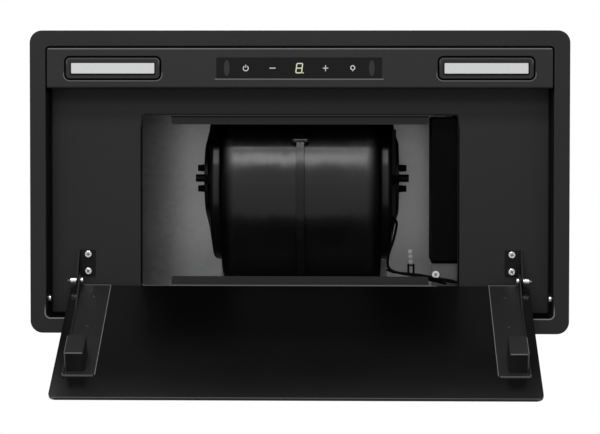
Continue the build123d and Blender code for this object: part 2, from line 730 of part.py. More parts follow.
def catch_span():
    """Ranges of the right catch block on the closed panel, in X, Y and Z."""
    x1 = ARM_X - CATCH_IN
    y0 = PIVOT_Y - ARM_REACH + CATCH_BACK
    return (x1 - CATCH_W, x1), (y0, y0 + CATCH_L), (LINER_Z + ARM_T, CEIL_Z - CATCH_GAP)


def catch_block():
    """Right catch block, which meets the ceiling plate when the panel is closed."""
    x, y, z = catch_span()
    body = block(x, y, z)
    body = fillet(body.edges().filter_by(Axis.Z), CATCH_R)
    body = fillet(edges_at(body, z[1], FLANGE_W, FLANGE_D), CATCH_EDGE)
    centre = (sum(x) / 2, sum(y) / 2)
    top = z[1] - MAGNET_SKIN
    body = body - rod(MAGNET_R, (*centre, z[0]), (*centre, top))
    return swung(body)


def casing_side():
    """Right casing side with its front, rear and top lips."""
    mid_x = CASE_X - CASE_T / 2
    mid_y = CASE_Y - 1.5 * CASE_T
    lip_x = CASE_X - CASE_LIP
    section = bent([(lip_x, -mid_y), (mid_x, -mid_y), (mid_x, mid_y), (lip_x, mid_y)], CASE_BEND, CASE_T)
    lip_z = WALL_H + LIP_RELIEF
    side = Pos(0, 0, lip_z) * extrude(section, SCROLL_TOP - lip_z, dir=(0, 0, 1))
    skirt_y = RECESS_D / 2 - RECESS_R
    side = side + block((CASE_X - CASE_T, CASE_X), (-skirt_y, skirt_y), (CASE_FOOT, lip_z))
    inner = CASE_Y - CASE_LIP - LIP_RELIEF
    side = side + block((lip_x, CASE_X), (-inner, inner), (SCROLL_TOP - CASE_T, SCROLL_TOP))
    for y in (-FIXING_SPAN / 2, FIXING_SPAN / 2):
        side = side - rod(FIXING_R, (CASE_X - 5, y, FIXING_Z), (CASE_X + 5, y, FIXING_Z))
    side = side - rod(SCREW_R + SCREW_FIT, (CASE_X - 5, CLIP_SCREW_Y, CLIP_SCREW_Z),
                      (CASE_X + 5, CLIP_SCREW_Y, CLIP_SCREW_Z))
    return drilled(side, skirt_seats() + lid_seats())


def casing_wall():
    """Rear casing wall with its top lip; the front one is its twin."""
    half = CASE_X - CASE_T / 2
    sheet = block((-half, half), (CASE_Y - CASE_T, CASE_Y), (CASE_FOOT, SCROLL_TOP))
    inner = CASE_X - CASE_LIP - LIP_RELIEF
    lip_y = CASE_Y - CASE_LIP
    sheet = sheet + block((-inner, inner), (lip_y, CASE_Y), (SCROLL_TOP - CASE_T, SCROLL_TOP))
    fold = sheet.edges().filter_by(Axis.X).filter_by_position(Axis.Z, SCROLL_TOP - 0.1, SCROLL_TOP + 0.1)
    fold = fold.filter_by_position(Axis.Y, CASE_Y - 0.1, CASE_Y + 0.1)
    sheet = fillet(fold, CASE_T)
    for side in (-1, 1):
        near, far = side * (CASE_X - FOOT_NOTCH), side * CASE_X
        sheet = sheet - block((min(near, far), max(near, far)), (CASE_Y - 2 * CASE_T, CASE_Y), (0, FOOT_NOTCH))
    return drilled(sheet, skirt_seats() + lid_seats())


def casing_top():
    """Top plate with the outlet, the gland's hole and pressed stiffening ribs."""
    top = slab(2 * CASE_X, 2 * CASE_Y, 2.0, SCROLL_TOP, CASE_T)
    for side in (-1, 1):
        for y in (-60.0, 0.0):
            x = side * (CASE_X + SCROLL_X) / 2
            outer = slab(RIB_L, RIB_W, RIB_W / 2 - 0.05, SCROLL_TOP, RIB_H + CASE_T, x=x, y=y)
            groove = slab(RIB_L - 2 * CASE_T, RIB_W - 2 * CASE_T, RIB_W / 2 - CASE_T - 0.05,
                          SCROLL_TOP, RIB_H, x=x, y=y)
            top = top + outer - groove
    inner_r = COLLAR_R - COLLAR_T
    top = top - rod(inner_r, (0, COLLAR_Y, SCROLL_TOP), (0, COLLAR_Y, CASE_TOP))
    top = top - rod(GLAND_R, (GLAND_X, GLAND_Y, SCROLL_TOP), (GLAND_X, GLAND_Y, CASE_TOP))
    return drilled(top, lid_seats() + scroll_seats() + collar_seats())


def sheet_screws():
    """All the sheet metal screws of the casing, collar, side clips and support."""
    seats = skirt_seats() + lid_seats() + scroll_seats() + collar_seats()
    return [screw(*seat) for seat in seats + clip_seats() + support_seats()]


def scroll_air():
    """Air space of the scroll and its outlet, a (Y, Z) face of arcs on stepping centres."""
    half = SCROLL_STEP / 2
    angle = radians(TONGUE_ANGLE)
    tongue = (SCROLL_R * cos(angle) - half, SCROLL_R * sin(angle) - half)
    arcs = [CenterArc((-half, -half), SCROLL_R, TONGUE_ANGLE, 180 - TONGUE_ANGLE),
            CenterArc((half, -half), SCROLL_R + SCROLL_STEP, 180, 90),
            CenterArc((half, half), SCROLL_R + 2 * SCROLL_STEP, 270, 90)]
    rear = SCROLL_REAR
    front = rear - DUCT_BORE
    above = OUTLET_RISE + 2 * NECK_H
    neck = Polyline((rear, half), (rear, above), (front, above), (front, OUTLET_RISE), tongue)
    face = make_face(arcs + neck.edges())
    corner = face.vertices().sort_by_distance(Vector(*tongue, 0))[0]
    return Pos(0, AXIS_Z) * fillet(corner, TONGUE_R)


def volute_point(angle, extra):
    """Y and Z of a point extra outside the scroll's air space, by quadrant."""
    half = SCROLL_STEP / 2
    if angle < 180:
        centre, radius = (-half, -half), SCROLL_R
    elif angle < 270:
        centre, radius = (half, -half), SCROLL_R + SCROLL_STEP
    else:
        centre, radius = (half, half), SCROLL_R + 2 * SCROLL_STEP
    reach = radius + extra
    return centre[0] + reach * cos(radians(angle)), centre[1] + reach * sin(radians(angle))


def bell_mouth():
    """Rounded inlet ring that stands out of the right cheek."""
    root = SCROLL_X - SCROLL_T
    lip_x = root + BELL_R
    lip_r = INLET_R + BELL_R
    rim_r = lip_r + BELL_LIP
    curve = CenterArc((root, lip_r), BELL_R, -90, 90)
    rest = Polyline((lip_x, lip_r), (lip_x, rim_r), (root, rim_r), (root, INLET_R))
    face = make_face(curve.edges() + rest.edges())
    tips = face.vertices().sort_by(Axis.X)[-2:]
    return turned(fillet(tips, BELL_LIP * 0.45))


def scroll_half():
    """Right half of the scroll: wall, cheek, bell mouth, seam and outlet flanges."""
    air = scroll_air()
    outer = along_x(offset(air, amount=SCROLL_T), 0, SCROLL_X)
    outer = fillet(outer.faces().sort_by(Axis.X)[-1].edges(), SCROLL_SHOULDER)
    hollow = along_x(air, 0, SCROLL_X - SCROLL_T)
    hollow = fillet(hollow.faces().sort_by(Axis.X)[-1].edges(), SCROLL_SHOULDER - SCROLL_T)
    seam = along_x(offset(air, amount=SCROLL_T + SEAM_H), 0, SEAM_W)
    front = SCROLL_REAR - DUCT_BORE - OUTLET_RIM
    flange = block((0, SCROLL_X + OUTLET_RIM), (front, SCROLL_REAR + SCROLL_T + SEAM_H),
                   (SCROLL_TOP - OUTLET_T, SCROLL_TOP))
    half = outer + seam + flange
    for angle in SEAM_BOLT_ANGLES:
        y, z = volute_point(angle, SCROLL_T + SEAM_H / 2)
        half = half + axis_rod(BOSS_R, 0, BOSS_L, y, z)
    half = half - hollow
    half = half - axis_rod(INLET_R + BELL_R, SCROLL_X - 2 * SCROLL_T, SCROLL_X + 1)
    half = half + bell_mouth()
    above = block((-1, 2 * SCROLL_X), (-2 * SCROLL_R, 2 * SCROLL_R), (SCROLL_TOP, SCROLL_TOP + 4 * NECK_H))
    half = half - above
    for angle in SEAM_BOLT_ANGLES:
        y, z = volute_point(angle, SCROLL_T + SEAM_H / 2)
        half = half - axis_rod(SEAM_BOLT_R + SCREW_FIT, -1, BOSS_L + 1, y, z)
    return drilled(half, scroll_seats())


def seam_bolts():
    """Bolts that clamp the two halves of the scroll along the seam."""
    bolts = []
    for angle in SEAM_BOLT_ANGLES:
        y, z = volute_point(angle, SCROLL_T + SEAM_H / 2)
        bolt = axis_rod(SEAM_BOLT_R, -BOSS_L - 2, BOSS_L + 2, y, z)
        for side in (-1, 1):
            bolt = bolt + axis_rod(BOSS_R * 0.7, side * BOSS_L, side * (BOSS_L + 2), y, z)
        bolts.append(bolt)
    return bolts


def bush_places():
    """Y and Z, from the blower's axis, of the three rubber bushes of a spider."""
    return [(BUSH_PITCH_R * cos(radians(a)), BUSH_PITCH_R * sin(radians(a))) for a in (90, 210, 330)]


def inlet_spider():
    """Right inlet spider: foot ring on the cheek, six domed arms and the hub plate."""
    line = FilletPolyline((SCROLL_X, SPIDER_FOOT_R), (SCROLL_X + SPIDER_RISE, SPIDER_FOOT_R),
                          (SCROLL_X + SPIDER_KNEE_UP, SPIDER_KNEE_R), (HUB_X, SPIDER_HUB_R),
                          (HUB_X, NOSE_R + NOSE_GAP), radius=SPIDER_FILLET)
    dome = turned(trace(line, SPIDER_T))
    hub = Circle(SPIDER_HUB_R + SPIDER_T)
    ring = Circle(SPIDER_FOOT_R + SPIDER_T) - Circle(SPIDER_FOOT_R - 1.5 * SPIDER_T)
    keep = hub + ring
    for angle in (30, 90, 150):
        keep = keep + Rot(0, 0, angle) * Rectangle(2 * SPIDER_FOOT_R, SPIDER_ARM_W)
    spider = dome & along_x(Pos(0, AXIS_Z) * keep, SCROLL_X, HUB_OUT)
    for y, z in bush_places():
        spider = spider - axis_rod(BUSH_NECK_R + BUSH_FIT, HUB_IN - 1, HUB_OUT + 1, y, z)
    return spider


def motor_bushes():
    """Three waisted rubber bushes in the hub plate of each spider."""
    bushes = []
    for y, z in bush_places():
        bush = axis_rod(BUSH_R, HUB_IN - BUSH_IN, HUB_IN, y, z)
        bush = bush + axis_rod(BUSH_NECK_R, HUB_IN, HUB_OUT, y, z)
        bush = bush + axis_rod(BUSH_R, HUB_OUT, HUB_OUT + BUSH_OUT, y, z)
        bush = bush - axis_rod(MOUNT_BOLT_R + SCREW_FIT, HUB_IN - BUSH_IN - 1, HUB_OUT + BUSH_OUT + 1, y, z)
        bushes += [bush, on_left(bush)]
    return bushes


def mount_bolts():
    """Hexagon bolts through the bushes into the motor cap and the bearing plate."""
    bolts = []
    head_x = HUB_OUT + BUSH_OUT
    for y, z in bush_places():
        head = Pos(y, AXIS_Z + z) * RegularPolygon(MOUNT_HEAD_R, 6)
        bolt = along_x(head, head_x, head_x + MOUNT_HEAD_H)
        bolt = bolt + axis_rod(MOUNT_BOLT_R, CAN_END + 0.2, head_x, y, z)
        bolts += [bolt, on_left(bolt)]
    return bolts


def bolt_bored(part):
    """Part with the three mounting bolts' holes about the blower's axis."""
    for y, z in bush_places():
        part = part - axis_rod(MOUNT_BOLT_R + SCREW_FIT, CAN_END, MOTOR_END + 1, y, z)
    return part


def motor_can():
    """Drawn motor can with vents, its closed end carrying a bearing."""
    can = axis_rod(CAN_R, CAN_GAP, CAN_END)
    can = fillet(can.edges().sort_by(Axis.X)[0], CAN_FILLET)
    can = can - axis_rod(CAN_R - CAN_T, CAN_GAP + CAP_T, CAN_END)
    pocket_end = CAN_GAP + BEARING_POCKET + BEARING_W
    can = can + axis_rod(BEARING_R + 2, CAN_GAP, pocket_end)
    can = can - axis_rod(BEARING_R + RUN_FIT, CAN_GAP + BEARING_POCKET, pocket_end)
    can = can - axis_rod(SHAFT_R + 1, CAN_GAP - 1, CAN_GAP + 5)
    starts = (CAN_GAP + VENT_INSET, CAN_END - VENT_INSET - VENT_L)
    for i in range(VENT_COUNT):
        for x in starts:
            vent = block((x, x + VENT_L), (-VENT_W / 2, VENT_W / 2), (CAN_R - 2 * CAN_T, CAN_R + 1))
            can = can - Pos(0, 0, AXIS_Z) * Rot(360 / VENT_COUNT * i, 0, 0) * vent
    return can


def motor_cap():
    """Motor's outer end plate with bearing boss, bush seats and nose."""
    cap = axis_rod(CAN_R, CAN_END, MOTOR_END)
    cap = fillet(cap.edges().sort_by(Axis.X)[-1], CAP_T * 0.6)
    cap = cap + axis_rod(BEARING_R + 2, CAN_END - BEARING_W, CAN_END)
    cap = cap - axis_rod(BEARING_R + RUN_FIT, CAN_END - BEARING_W, CAN_END)
    cap = cap + axis_rod(NOSE_R, MOTOR_END, HUB_OUT + NOSE_OUT)
    return bolt_bored(cap)


def bearing_plate():
    """Outboard bearing plate at the left inlet, modelled at the right and mirrored."""
    plate = axis_rod(CAP_BOSS_R, CAN_END, MOTOR_END)
    plate = plate + axis_rod(BEARING_R + 2, CAN_END - BEARING_W, CAN_END)
    plate = plate - axis_rod(BEARING_R + RUN_FIT, CAN_END - BEARING_W, CAN_END)
    plate = plate + axis_rod(NOSE_R, MOTOR_END, HUB_OUT + NOSE_OUT)
    return on_left(bolt_bored(plate))


def bearing_starts():
    """Left ends of the three ball bearings on the shaft."""
    return [-CAN_END, CAN_GAP + BEARING_POCKET, CAN_END - BEARING_W]


def ball_bearings():
    """Outboard, inner and outer bearing, each as one ring with its grooved sides."""
    rings = []
    for x in bearing_starts():
        ring = axis_rod(BEARING_R, x, x + BEARING_W) - axis_rod(SHAFT_R + RUN_FIT, x, x + BEARING_W)
        groove = axis_rod(BEARING_R - 2, x, x + 0.5) - axis_rod(SHAFT_R + 2, x, x + 0.5)
        ring = ring - groove - Pos(BEARING_W - 0.5, 0, 0) * groove
        rings.append(ring)
    return rings


def stator_span():
    """X range of the stator and rotor cores."""
    middle = (CAN_GAP + CAN_END) / 2
    return middle - STATOR_L / 2, middle + STATOR_L / 2


def motor_stator():
    """Stator core with its two rings of end turns."""
    x0, x1 = stator_span()
    core = axis_rod(CAN_R - CAN_T, x0, x1)
    for side, x in ((-1, x0), (1, x1)):
        core = core + axis_rod(CAN_R - CAN_T - 3, x, x + side * 7)
    return core - axis_rod(STATOR_BORE, x0 - 8, x1 + 8)


def motor_rotor():
    """Rotor core on the shaft."""
    x0, x1 = stator_span()
    core = axis_rod(STATOR_BORE - AIR_GAP, x0, x1)
    return core - axis_rod(SHAFT_R + RUN_FIT, x0, x1)


def motor_shaft():
    """Shaft from the outboard bearing through the wheel's hub and the motor."""
    return axis_rod(SHAFT_R, -CAN_END + 0.3, CAN_END - 0.3)


def impeller_hub():
    """Flanged metal hub between the shaft and the wheel's disc."""
    face = -DISC_T / 2
    hub = axis_rod(HUB_R, face - HUB_L, face) + axis_rod(HUB_FLANGE_R, face - HUB_FLANGE_T, face)
    hub = hub + axis_rod(HUB_SPIGOT_R, face, DISC_T / 2 + 1)
    hub = hub - axis_rod(SHAFT_R + RUN_FIT, face - HUB_L - 1, DISC_T)
    grub_x = face - HUB_L * 0.6
    return hub - rod(1.6, (grub_x, 0, AXIS_Z), (grub_x, 0, AXIS_Z + HUB_R + 1))


def blade_section():
    """Forward-curved blade across the wheel's rim, as a (Y, Z) face about the axis."""
    root_r = WHEEL_BORE + 0.4
    tip_r = WHEEL_R - 0.4
    lean = radians(BLADE_TURN)
    tip = (tip_r * cos(lean), tip_r * sin(lean))
    middle = ((root_r + tip[0]) / 2 + BLADE_BOW * 0.6, tip[1] / 2 - BLADE_BOW)
    return trace(ThreePointArc((root_r, 0), middle, tip), BLADE_T)


def impeller_wheel():
    """Double inlet wheel: centre disc, forward-curved blades and two end rings."""
    blade = along_x(Pos(0, AXIS_Z) * blade_section(), -WHEEL_X, WHEEL_X)
    disc = axis_rod(WHEEL_R, -DISC_T / 2, DISC_T / 2)
    disc = disc - axis_rod(HUB_SPIGOT_R + RUN_FIT, -DISC_T, DISC_T)
    pieces = []
    for side in (-1, 1):
        outer = side * WHEEL_X
        inner = side * (WHEEL_X - END_RING_T)
        ring = axis_rod(WHEEL_R, inner, outer) - axis_rod(WHEEL_R - END_RING_W, inner, outer)
        pieces.append(ring)
    turn_about = Axis((0, 0, AXIS_Z), (1, 0, 0))
    for i in range(BLADE_COUNT):
        pieces.append(blade.rotate(turn_about, 360 / BLADE_COUNT * i))
    return disc.fuse(*pieces)


def outlet_collar():
    """Duct spigot with rim, stop ledge and pin bosses for the two flaps."""
    inner_r = COLLAR_R - COLLAR_T
    base = CASE_TOP
    hinge_z = base + FLAP_UP
    collar = rod(COLLAR_RIM, (0, 0, base), (0, 0, base + COLLAR_RIM_T))
    collar = collar + rod(COLLAR_R, (0, 0, base), (0, 0, base + COLLAR_H))
    root = edges_at(collar, base + COLLAR_RIM_T, COLLAR_RIM, COLLAR_RIM)
    collar = fillet([e for e in root if abs(e.radius - COLLAR_R) < 0.1], 1.5)
    collar = chamfer(edges_at(collar, base + COLLAR_H, COLLAR_RIM, COLLAR_RIM), 0.8)
    collar = collar - rod(inner_r, (0, 0, base), (0, 0, base + COLLAR_H))
    stop_top = hinge_z - FLAP_T / 2 - STOP_GAP
    stop = rod(inner_r, (0, 0, stop_top - STOP_T), (0, 0, stop_top))
    collar = collar + (stop - rod(inner_r - STOP_W, (0, 0, stop_top - STOP_T), (0, 0, stop_top)))
    boss_x = inner_r - FLAP_BOSS_IN
    bosses = []
    for side in (-1, 1):
        for y in (-FLAP_OFFSET, FLAP_OFFSET):
            bosses.append(rod(FLAP_BOSS_R, (side * boss_x, y, hinge_z), (side * (inner_r + 0.5), y, hinge_z)))
    collar = collar.fuse(*bosses)
    for side in (-1, 1):
        for y in (-FLAP_OFFSET, FLAP_OFFSET):
            hole = rod(FLAP_PIN_R + PIN_FIT, (side * (boss_x - 1), y, hinge_z), (side * inner_r, y, hinge_z))
            collar = collar - hole
    return drilled(Pos(0, COLLAR_Y, 0) * collar, collar_seats())


def damper_flap():
    """Rear backdraft flap: half disc on a hinge barrel with a pin at each end."""
    inner_r = COLLAR_R - COLLAR_T
    hinge_z = CASE_TOP + FLAP_UP
    boss_x = inner_r - FLAP_BOSS_IN
    disc = rod(inner_r - FLAP_GAP, (0, 0, hinge_z - FLAP_T / 2), (0, 0, hinge_z + FLAP_T / 2))
    half = disc & block((-COLLAR_R, COLLAR_R), (FLAP_OFFSET, COLLAR_R), (hinge_z - FLAP_T, hinge_z + FLAP_T))
    barrel_x = boss_x - 0.4
    for side in (-1, 1):
        near = side * barrel_x
        far = side * COLLAR_R
        half = half - block((min(near, far), max(near, far)), (0, FLAP_OFFSET + FLAP_BOSS_R + 1),
                            (hinge_z - FLAP_T, hinge_z + FLAP_T))
    flap = half + rod(FLAP_BARREL_R, (-barrel_x, FLAP_OFFSET, hinge_z), (barrel_x, FLAP_OFFSET, hinge_z))
    pin_x = inner_r - 0.3
    flap = flap + rod(FLAP_PIN_R, (-pin_x, FLAP_OFFSET, hinge_z), (pin_x, FLAP_OFFSET, hinge_z))
    return Pos(0, COLLAR_Y, 0) * flap


def electronics_box():
    """Moulded tray, open to the right, on two feet that stand on the ceiling plate."""
    box = block((ELEC_X0, ELEC_X1 - ELEC_LID_T), (ELEC_Y0, ELEC_Y1), (ELEC_Z0, ELEC_Z1))
    box = fillet(box.edges().filter_by(Axis.X), ELEC_R)
    hollow = block((ELEC_X0 + ELEC_T, ELEC_X1), (ELEC_Y0 + ELEC_T, ELEC_Y1 - ELEC_T),
                   (ELEC_Z0 + ELEC_T, ELEC_Z1 - ELEC_T))
    box = box - hollow
    foot_x = (ELEC_X1 - ELEC_LID_T - ELEC_FOOT_W, ELEC_X1 - ELEC_LID_T)
    for y in (ELEC_Y0 + ELEC_R, ELEC_Y1 - ELEC_R - ELEC_FOOT_L):
        box = box + block(foot_x, (y, y + ELEC_FOOT_L), (CEIL_TOP, ELEC_Z0 + ELEC_T))
    return drilled(box, support_seats())


def electronics_lid():
    """Lid on the right of the electronics box."""
    lid = block((ELEC_X1 - ELEC_LID_T, ELEC_X1), (ELEC_Y0, ELEC_Y1), (ELEC_Z0, ELEC_Z1))
    return fillet(lid.edges().filter_by(Axis.X), ELEC_R)


def run_capacitor():
    """Motor's run capacitor, lying against the tray's floor."""
    x = ELEC_X0 + ELEC_T + CAPACITOR_R
    z = ELEC_Z1 - ELEC_T - 2 - CAPACITOR_R
    y = ELEC_Y1 - 10
    can = rod(CAPACITOR_R, (x, y - CAPACITOR_L, z), (x, y, z))
    return can + rod(3, (x, y - CAPACITOR_L - 5, z), (x, y - CAPACITOR_L, z))


def support_plate_z():
    """Middle height of the electronics support's flat plate."""
    return CEIL_TOP + SUPPORT_UP


def support_seats():
    """Screws from the support into the box's rear wall, and the earth screw under its plate."""
    plate_z = support_plate_z()
    earth_x = ELEC_X0 + SCREW_HEAD_R + 0.4
    earth_y = (ELEC_Y1 + SUPPORT_T + OPEN_REAR) / 2
    seats = [((earth_x, earth_y, plate_z - SUPPORT_T / 2), (0, 0, 1))]
    for share in (0.3, 0.7):
        x = ELEC_X0 + share * SUPPORT_W
        seats.append(((x, ELEC_Y1 + SUPPORT_T, plate_z + 0.7 * SUPPORT_LEG), (0, -1, 0)))
    return seats


def electronics_support():
    """Stepped bracket from the box's rear wall over the hem to the ceiling plate."""
    mid = SUPPORT_T / 2
    wall_y = ELEC_Y1 + mid
    plate_z = support_plate_z()
    drop_y = OPEN_REAR + CEIL_T + 1.0 + mid
    foot_z = CEIL_TOP + mid
    section = bent([(wall_y, plate_z + SUPPORT_LEG), (wall_y, plate_z), (drop_y, plate_z),
                    (drop_y, foot_z), (drop_y + SUPPORT_FOOT, foot_z)], SUPPORT_BEND, SUPPORT_T)
    return drilled(along_x(section, ELEC_X0, ELEC_X0 + SUPPORT_W), support_seats())


def mains_gland():
    """Cord gland in the top plate: nut below, hexagon and dome above."""
    below = SCROLL_TOP - GLAND_NUT_H
    gland = Pos(0, 0, below) * extrude(RegularPolygon(GLAND_NUT_R, 6), GLAND_NUT_H)
    gland = gland + rod(GLAND_R - SCREW_FIT, (0, 0, SCROLL_TOP), (0, 0, CASE_TOP))
    gland = gland + Pos(0, 0, CASE_TOP) * extrude(RegularPolygon(GLAND_NUT_R, 6), GLAND_NUT_H)
    dome = rod(GLAND_R, (0, 0, CASE_TOP + GLAND_NUT_H), (0, 0, CASE_TOP + GLAND_H))
    dome = fillet(edges_at(dome, CASE_TOP + GLAND_H, 50, 50), 3.0)
    gland = gland + dome - rod(GLAND_BORE, (0, 0, below), (0, 0, CASE_TOP + GLAND_H))
    return Pos(GLAND_X, GLAND_Y, 0) * gland


def side_clip():
    """Right spring clip: flat base on the casing, bowed out to grip the cabinet."""
    mid = CASE_X + CLIP_T / 2
    foot = CASE_FOOT + 1.5
    section = bent([(mid, foot), (mid, CLIP_SCREW_Z + 12), (mid + CLIP_OUT, CLIP_SCREW_Z + 20),
                    (mid + 1.0, foot + CLIP_H)], 2.0, CLIP_T)
    clip = along_y(section, CLIP_Y - CLIP_W / 2, CLIP_Y + CLIP_W / 2)
    return clip - rod(SCREW_R + SCREW_FIT, (CASE_X - 1, CLIP_SCREW_Y, CLIP_SCREW_Z),
                      (CASE_X + 3, CLIP_SCREW_Y, CLIP_SCREW_Z))


def control_exit():
    """X and Y where the control lead passes the ceiling plate."""
    return 0.3 * FASCIA_W, STRIP_Y


def lead(name, points, radius):
    """Tube of straight runs joined by arcs as large as the runs allow."""
    radii = []
    for a, b, c in zip(points, points[1:], points[2:]):
        run_in = Vector(*b) - Vector(*a)
        run_out = Vector(*c) - Vector(*b)
        turn = radians(run_in.get_angle(run_out))
        radii.append(0.45 * min(run_in.length, run_out.length) / tan(turn / 2))
    path = FilletPolyline(*points, radius=radii) if radii else Line(*points)
    tube = sweep(Plane(origin=path @ 0, z_dir=path % 0) * Circle(radius), path=path)
    share = tube.volume / (3.141593 * radius * radius * path.length)
    print(name, "radii", [round(r, 1) for r in radii], "volume share", round(share, 4))
    return tube


def motor_lead():
    """Lead from the motor can out through the inlet, down beside the scroll and to the box."""
    hem_top = CEIL_Z + HEM_H
    past_x = ELEC_X0 + SUPPORT_W
    entry_z = ELEC_Z0 + 19.5
    way_y, way_z = cos(radians(LEAD_ANGLE)), sin(radians(LEAD_ANGLE))
    exit_x = CAN_END - 2.6
    points = []
    for x, reach in ((exit_x, CAN_R), (exit_x, CAN_R + 9.5), (exit_x + 10.5, CAN_R + 20.5)):
        points.append((x, reach * way_y, AXIS_Z + reach * way_z))
    points += [(SCROLL_X + 13.6, 57.5, AXIS_Z - 67.5),
               (SCROLL_X + 6.2, 76.5, hem_top + 26.0),
               (SCROLL_X + 6.4, OPEN_REAR - 14.85, hem_top + 9.0),
               (SCROLL_X + 22.5, OPEN_REAR - 11.25, hem_top + 1.6),
               (ELEC_X0 - 4.7, OPEN_REAR - 8.35, hem_top + 1.2),
               (ELEC_X0 + 19.5, OPEN_REAR - 3.75, hem_top + 1.8),
               (past_x + 1.5, OPEN_REAR - 2.95, hem_top + 3.4),
               (past_x + 8.5, OPEN_REAR - 4.15, hem_top + 12.2),
               (past_x + 6.0, ELEC_Y1 + 11.0, entry_z),
               (past_x + 6.0, ELEC_Y1, entry_z)]
    return lead("motor_lead", points, LEAD_R)


def control_lead():
    """Lead from the key board's box up through the ceiling plate to the electronics."""
    x, y = control_exit()
    low = FASCIA_TOP + CONTROL_H
    front = ELEC_Y0
    points = [(x, y, low),
              (x, y, CEIL_TOP + 6.0),
              (x + 30.0, y + 2.0, CEIL_TOP + 14.0),
              (ELEC_X0 + 10.0, y + 8.0, CEIL_TOP + 13.0),
              (ELEC_X0 + 22.0, front - 22.0, ELEC_Z0 + 14.0),
              (ELEC_X0 + 22.0, front, ELEC_Z0 + 14.0)]
    return lead("control_lead", points, LEAD_R)


def lamp_leads():
    """Straight lead from each lamp board to the key board's box."""
    z = FASCIA_TOP + CONTROL_H / 2
    near = FASCIA_W / 2
    far = LAMP_X - LENS_W / 2 - LENS_SHOULDER + 6.0
    right = lead("lamp_lead", [(near, STRIP_Y, z), (far, STRIP_Y, z)], LEAD_R)
    return [right, on_left(right)]


def pair(name, build):
    """Left and right nodes of a mirrored part."""
    right = build()
    return {name + "_right": right, name + "_left": on_left(right)}


def all_parts():
    """Every node of the hood by name."""
    parts = {
        "rim_frame": rim_frame(),
        "ceiling_plate": ceiling_plate(),
        "filter_rail_front": rail(OPEN_FRONT, 1, FRONT_RAIL_BEND),
        "filter_rail_rear": rail(OPEN_REAR, -1, REAR_RAIL_BEND),
        "light_strip": light_strip(),
        "control_fascia": control_fascia(),
        "control_housing": control_housing(),
        "control_board": control_board(),
        "bracket_screws": bracket_screws(),
        "hinge_pins": hinge_pins(),
        "panel_skin": panel_skin(),
        "panel_liner": panel_liner(),
        "arm_rivets": arm_rivets(),
        "casing_rear": casing_wall(),
        "casing_front": mirror(casing_wall(), about=Plane.XZ),
        "casing_top": casing_top(),
        "sheet_screws": sheet_screws(),
        "seam_bolts": seam_bolts(),
        "motor_bushes": motor_bushes(),
        "mount_bolts": mount_bolts(),
        "motor_can": motor_can(),
        "motor_cap": motor_cap(),
        "motor_stator": motor_stator(),
        "motor_rotor": motor_rotor(),
        "motor_shaft": motor_shaft(),
        "bearing_plate": bearing_plate(),
        "ball_bearings": ball_bearings(),
        "impeller_hub": impeller_hub(),
        "impeller_wheel": impeller_wheel(),
        "outlet_collar": outlet_collar(),
        "electronics_box": electronics_box(),
        "electronics_lid": electronics_lid(),
        "electronics_support": electronics_support(),
        "run_capacitor": run_capacitor(),
        "mains_gland": mains_gland(),
        "motor_lead": motor_lead(),
        "control_lead": control_lead(),
        "lamp_leads": lamp_leads(),
    }
    twins = {"led_bezel": led_bezel, "led_lens": led_lens, "led_module": led_module,
             "hinge_bracket": hinge_bracket, "hinge_arm": hinge_arm,
             "catch_block": catch_block, "casing_side": casing_side, "side_clip": side_clip,
             "scroll": scroll_half, "inlet_spider": inlet_spider}
    for name, build in twins.items():
        parts.update(pair(name, build))
    rear_flap = damper_flap()
    parts["flap_rear"] = rear_flap
    parts["flap_front"] = mirror(rear_flap, about=Plane(origin=(0, COLLAR_Y, 0), z_dir=(0, 1, 0)))
    return parts


os.makedirs("parts", exist_ok=True)
for node, shape in all_parts().items():
    if isinstance(shape, list):
        shape = Compound(children=shape)
    export_step(shape, "parts/" + node + ".step")
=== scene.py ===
from math import atan2, pi, radians

import bmesh
import bpy
from mathutils import Matrix, Vector


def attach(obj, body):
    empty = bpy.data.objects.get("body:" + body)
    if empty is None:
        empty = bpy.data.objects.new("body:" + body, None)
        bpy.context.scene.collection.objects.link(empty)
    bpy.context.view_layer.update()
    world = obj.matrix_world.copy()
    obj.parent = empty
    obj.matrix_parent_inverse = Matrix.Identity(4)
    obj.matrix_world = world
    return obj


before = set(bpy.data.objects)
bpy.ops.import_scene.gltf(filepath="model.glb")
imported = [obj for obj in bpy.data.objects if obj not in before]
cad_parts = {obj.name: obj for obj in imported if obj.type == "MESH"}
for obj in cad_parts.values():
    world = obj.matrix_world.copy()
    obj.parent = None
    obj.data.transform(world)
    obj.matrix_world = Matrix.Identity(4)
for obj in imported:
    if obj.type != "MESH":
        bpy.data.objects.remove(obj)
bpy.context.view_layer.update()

MM = 0.001


# Camera: under the hood, looking up into the recess
CAMERA_AT = (0.046724, -0.0604457, -2.0356379)
CAMERA_TURN = (0.0319342, 0.0225408, 0.0007577)
CAMERA_SENSOR = 36.0
CAMERA_LENS = 125.6208
CAMERA_SHIFT_Y = -0.05
CAMERA_NEAR, CAMERA_FAR = 0.05, 60.0


def place_camera():
    data = bpy.data.cameras.new("camera")
    data.sensor_width = CAMERA_SENSOR
    data.lens = CAMERA_LENS
    data.shift_y = CAMERA_SHIFT_Y
    data.clip_start, data.clip_end = CAMERA_NEAR, CAMERA_FAR
    x, y, z = CAMERA_TURN
    turn = Matrix.Rotation(z, 3, "Z") @ Matrix.Rotation(x, 3, "X") @ Matrix.Rotation(y, 3, "Y")
    axes = Matrix((turn[0], -turn[1], -turn[2])).transposed()
    camera = bpy.data.objects.new("camera", data)
    bpy.context.scene.collection.objects.link(camera)
    camera.matrix_world = Matrix.Translation(CAMERA_AT) @ axes.to_4x4()
    bpy.context.scene.camera = camera


place_camera()
bpy.context.scene.view_settings.view_transform = "Standard"


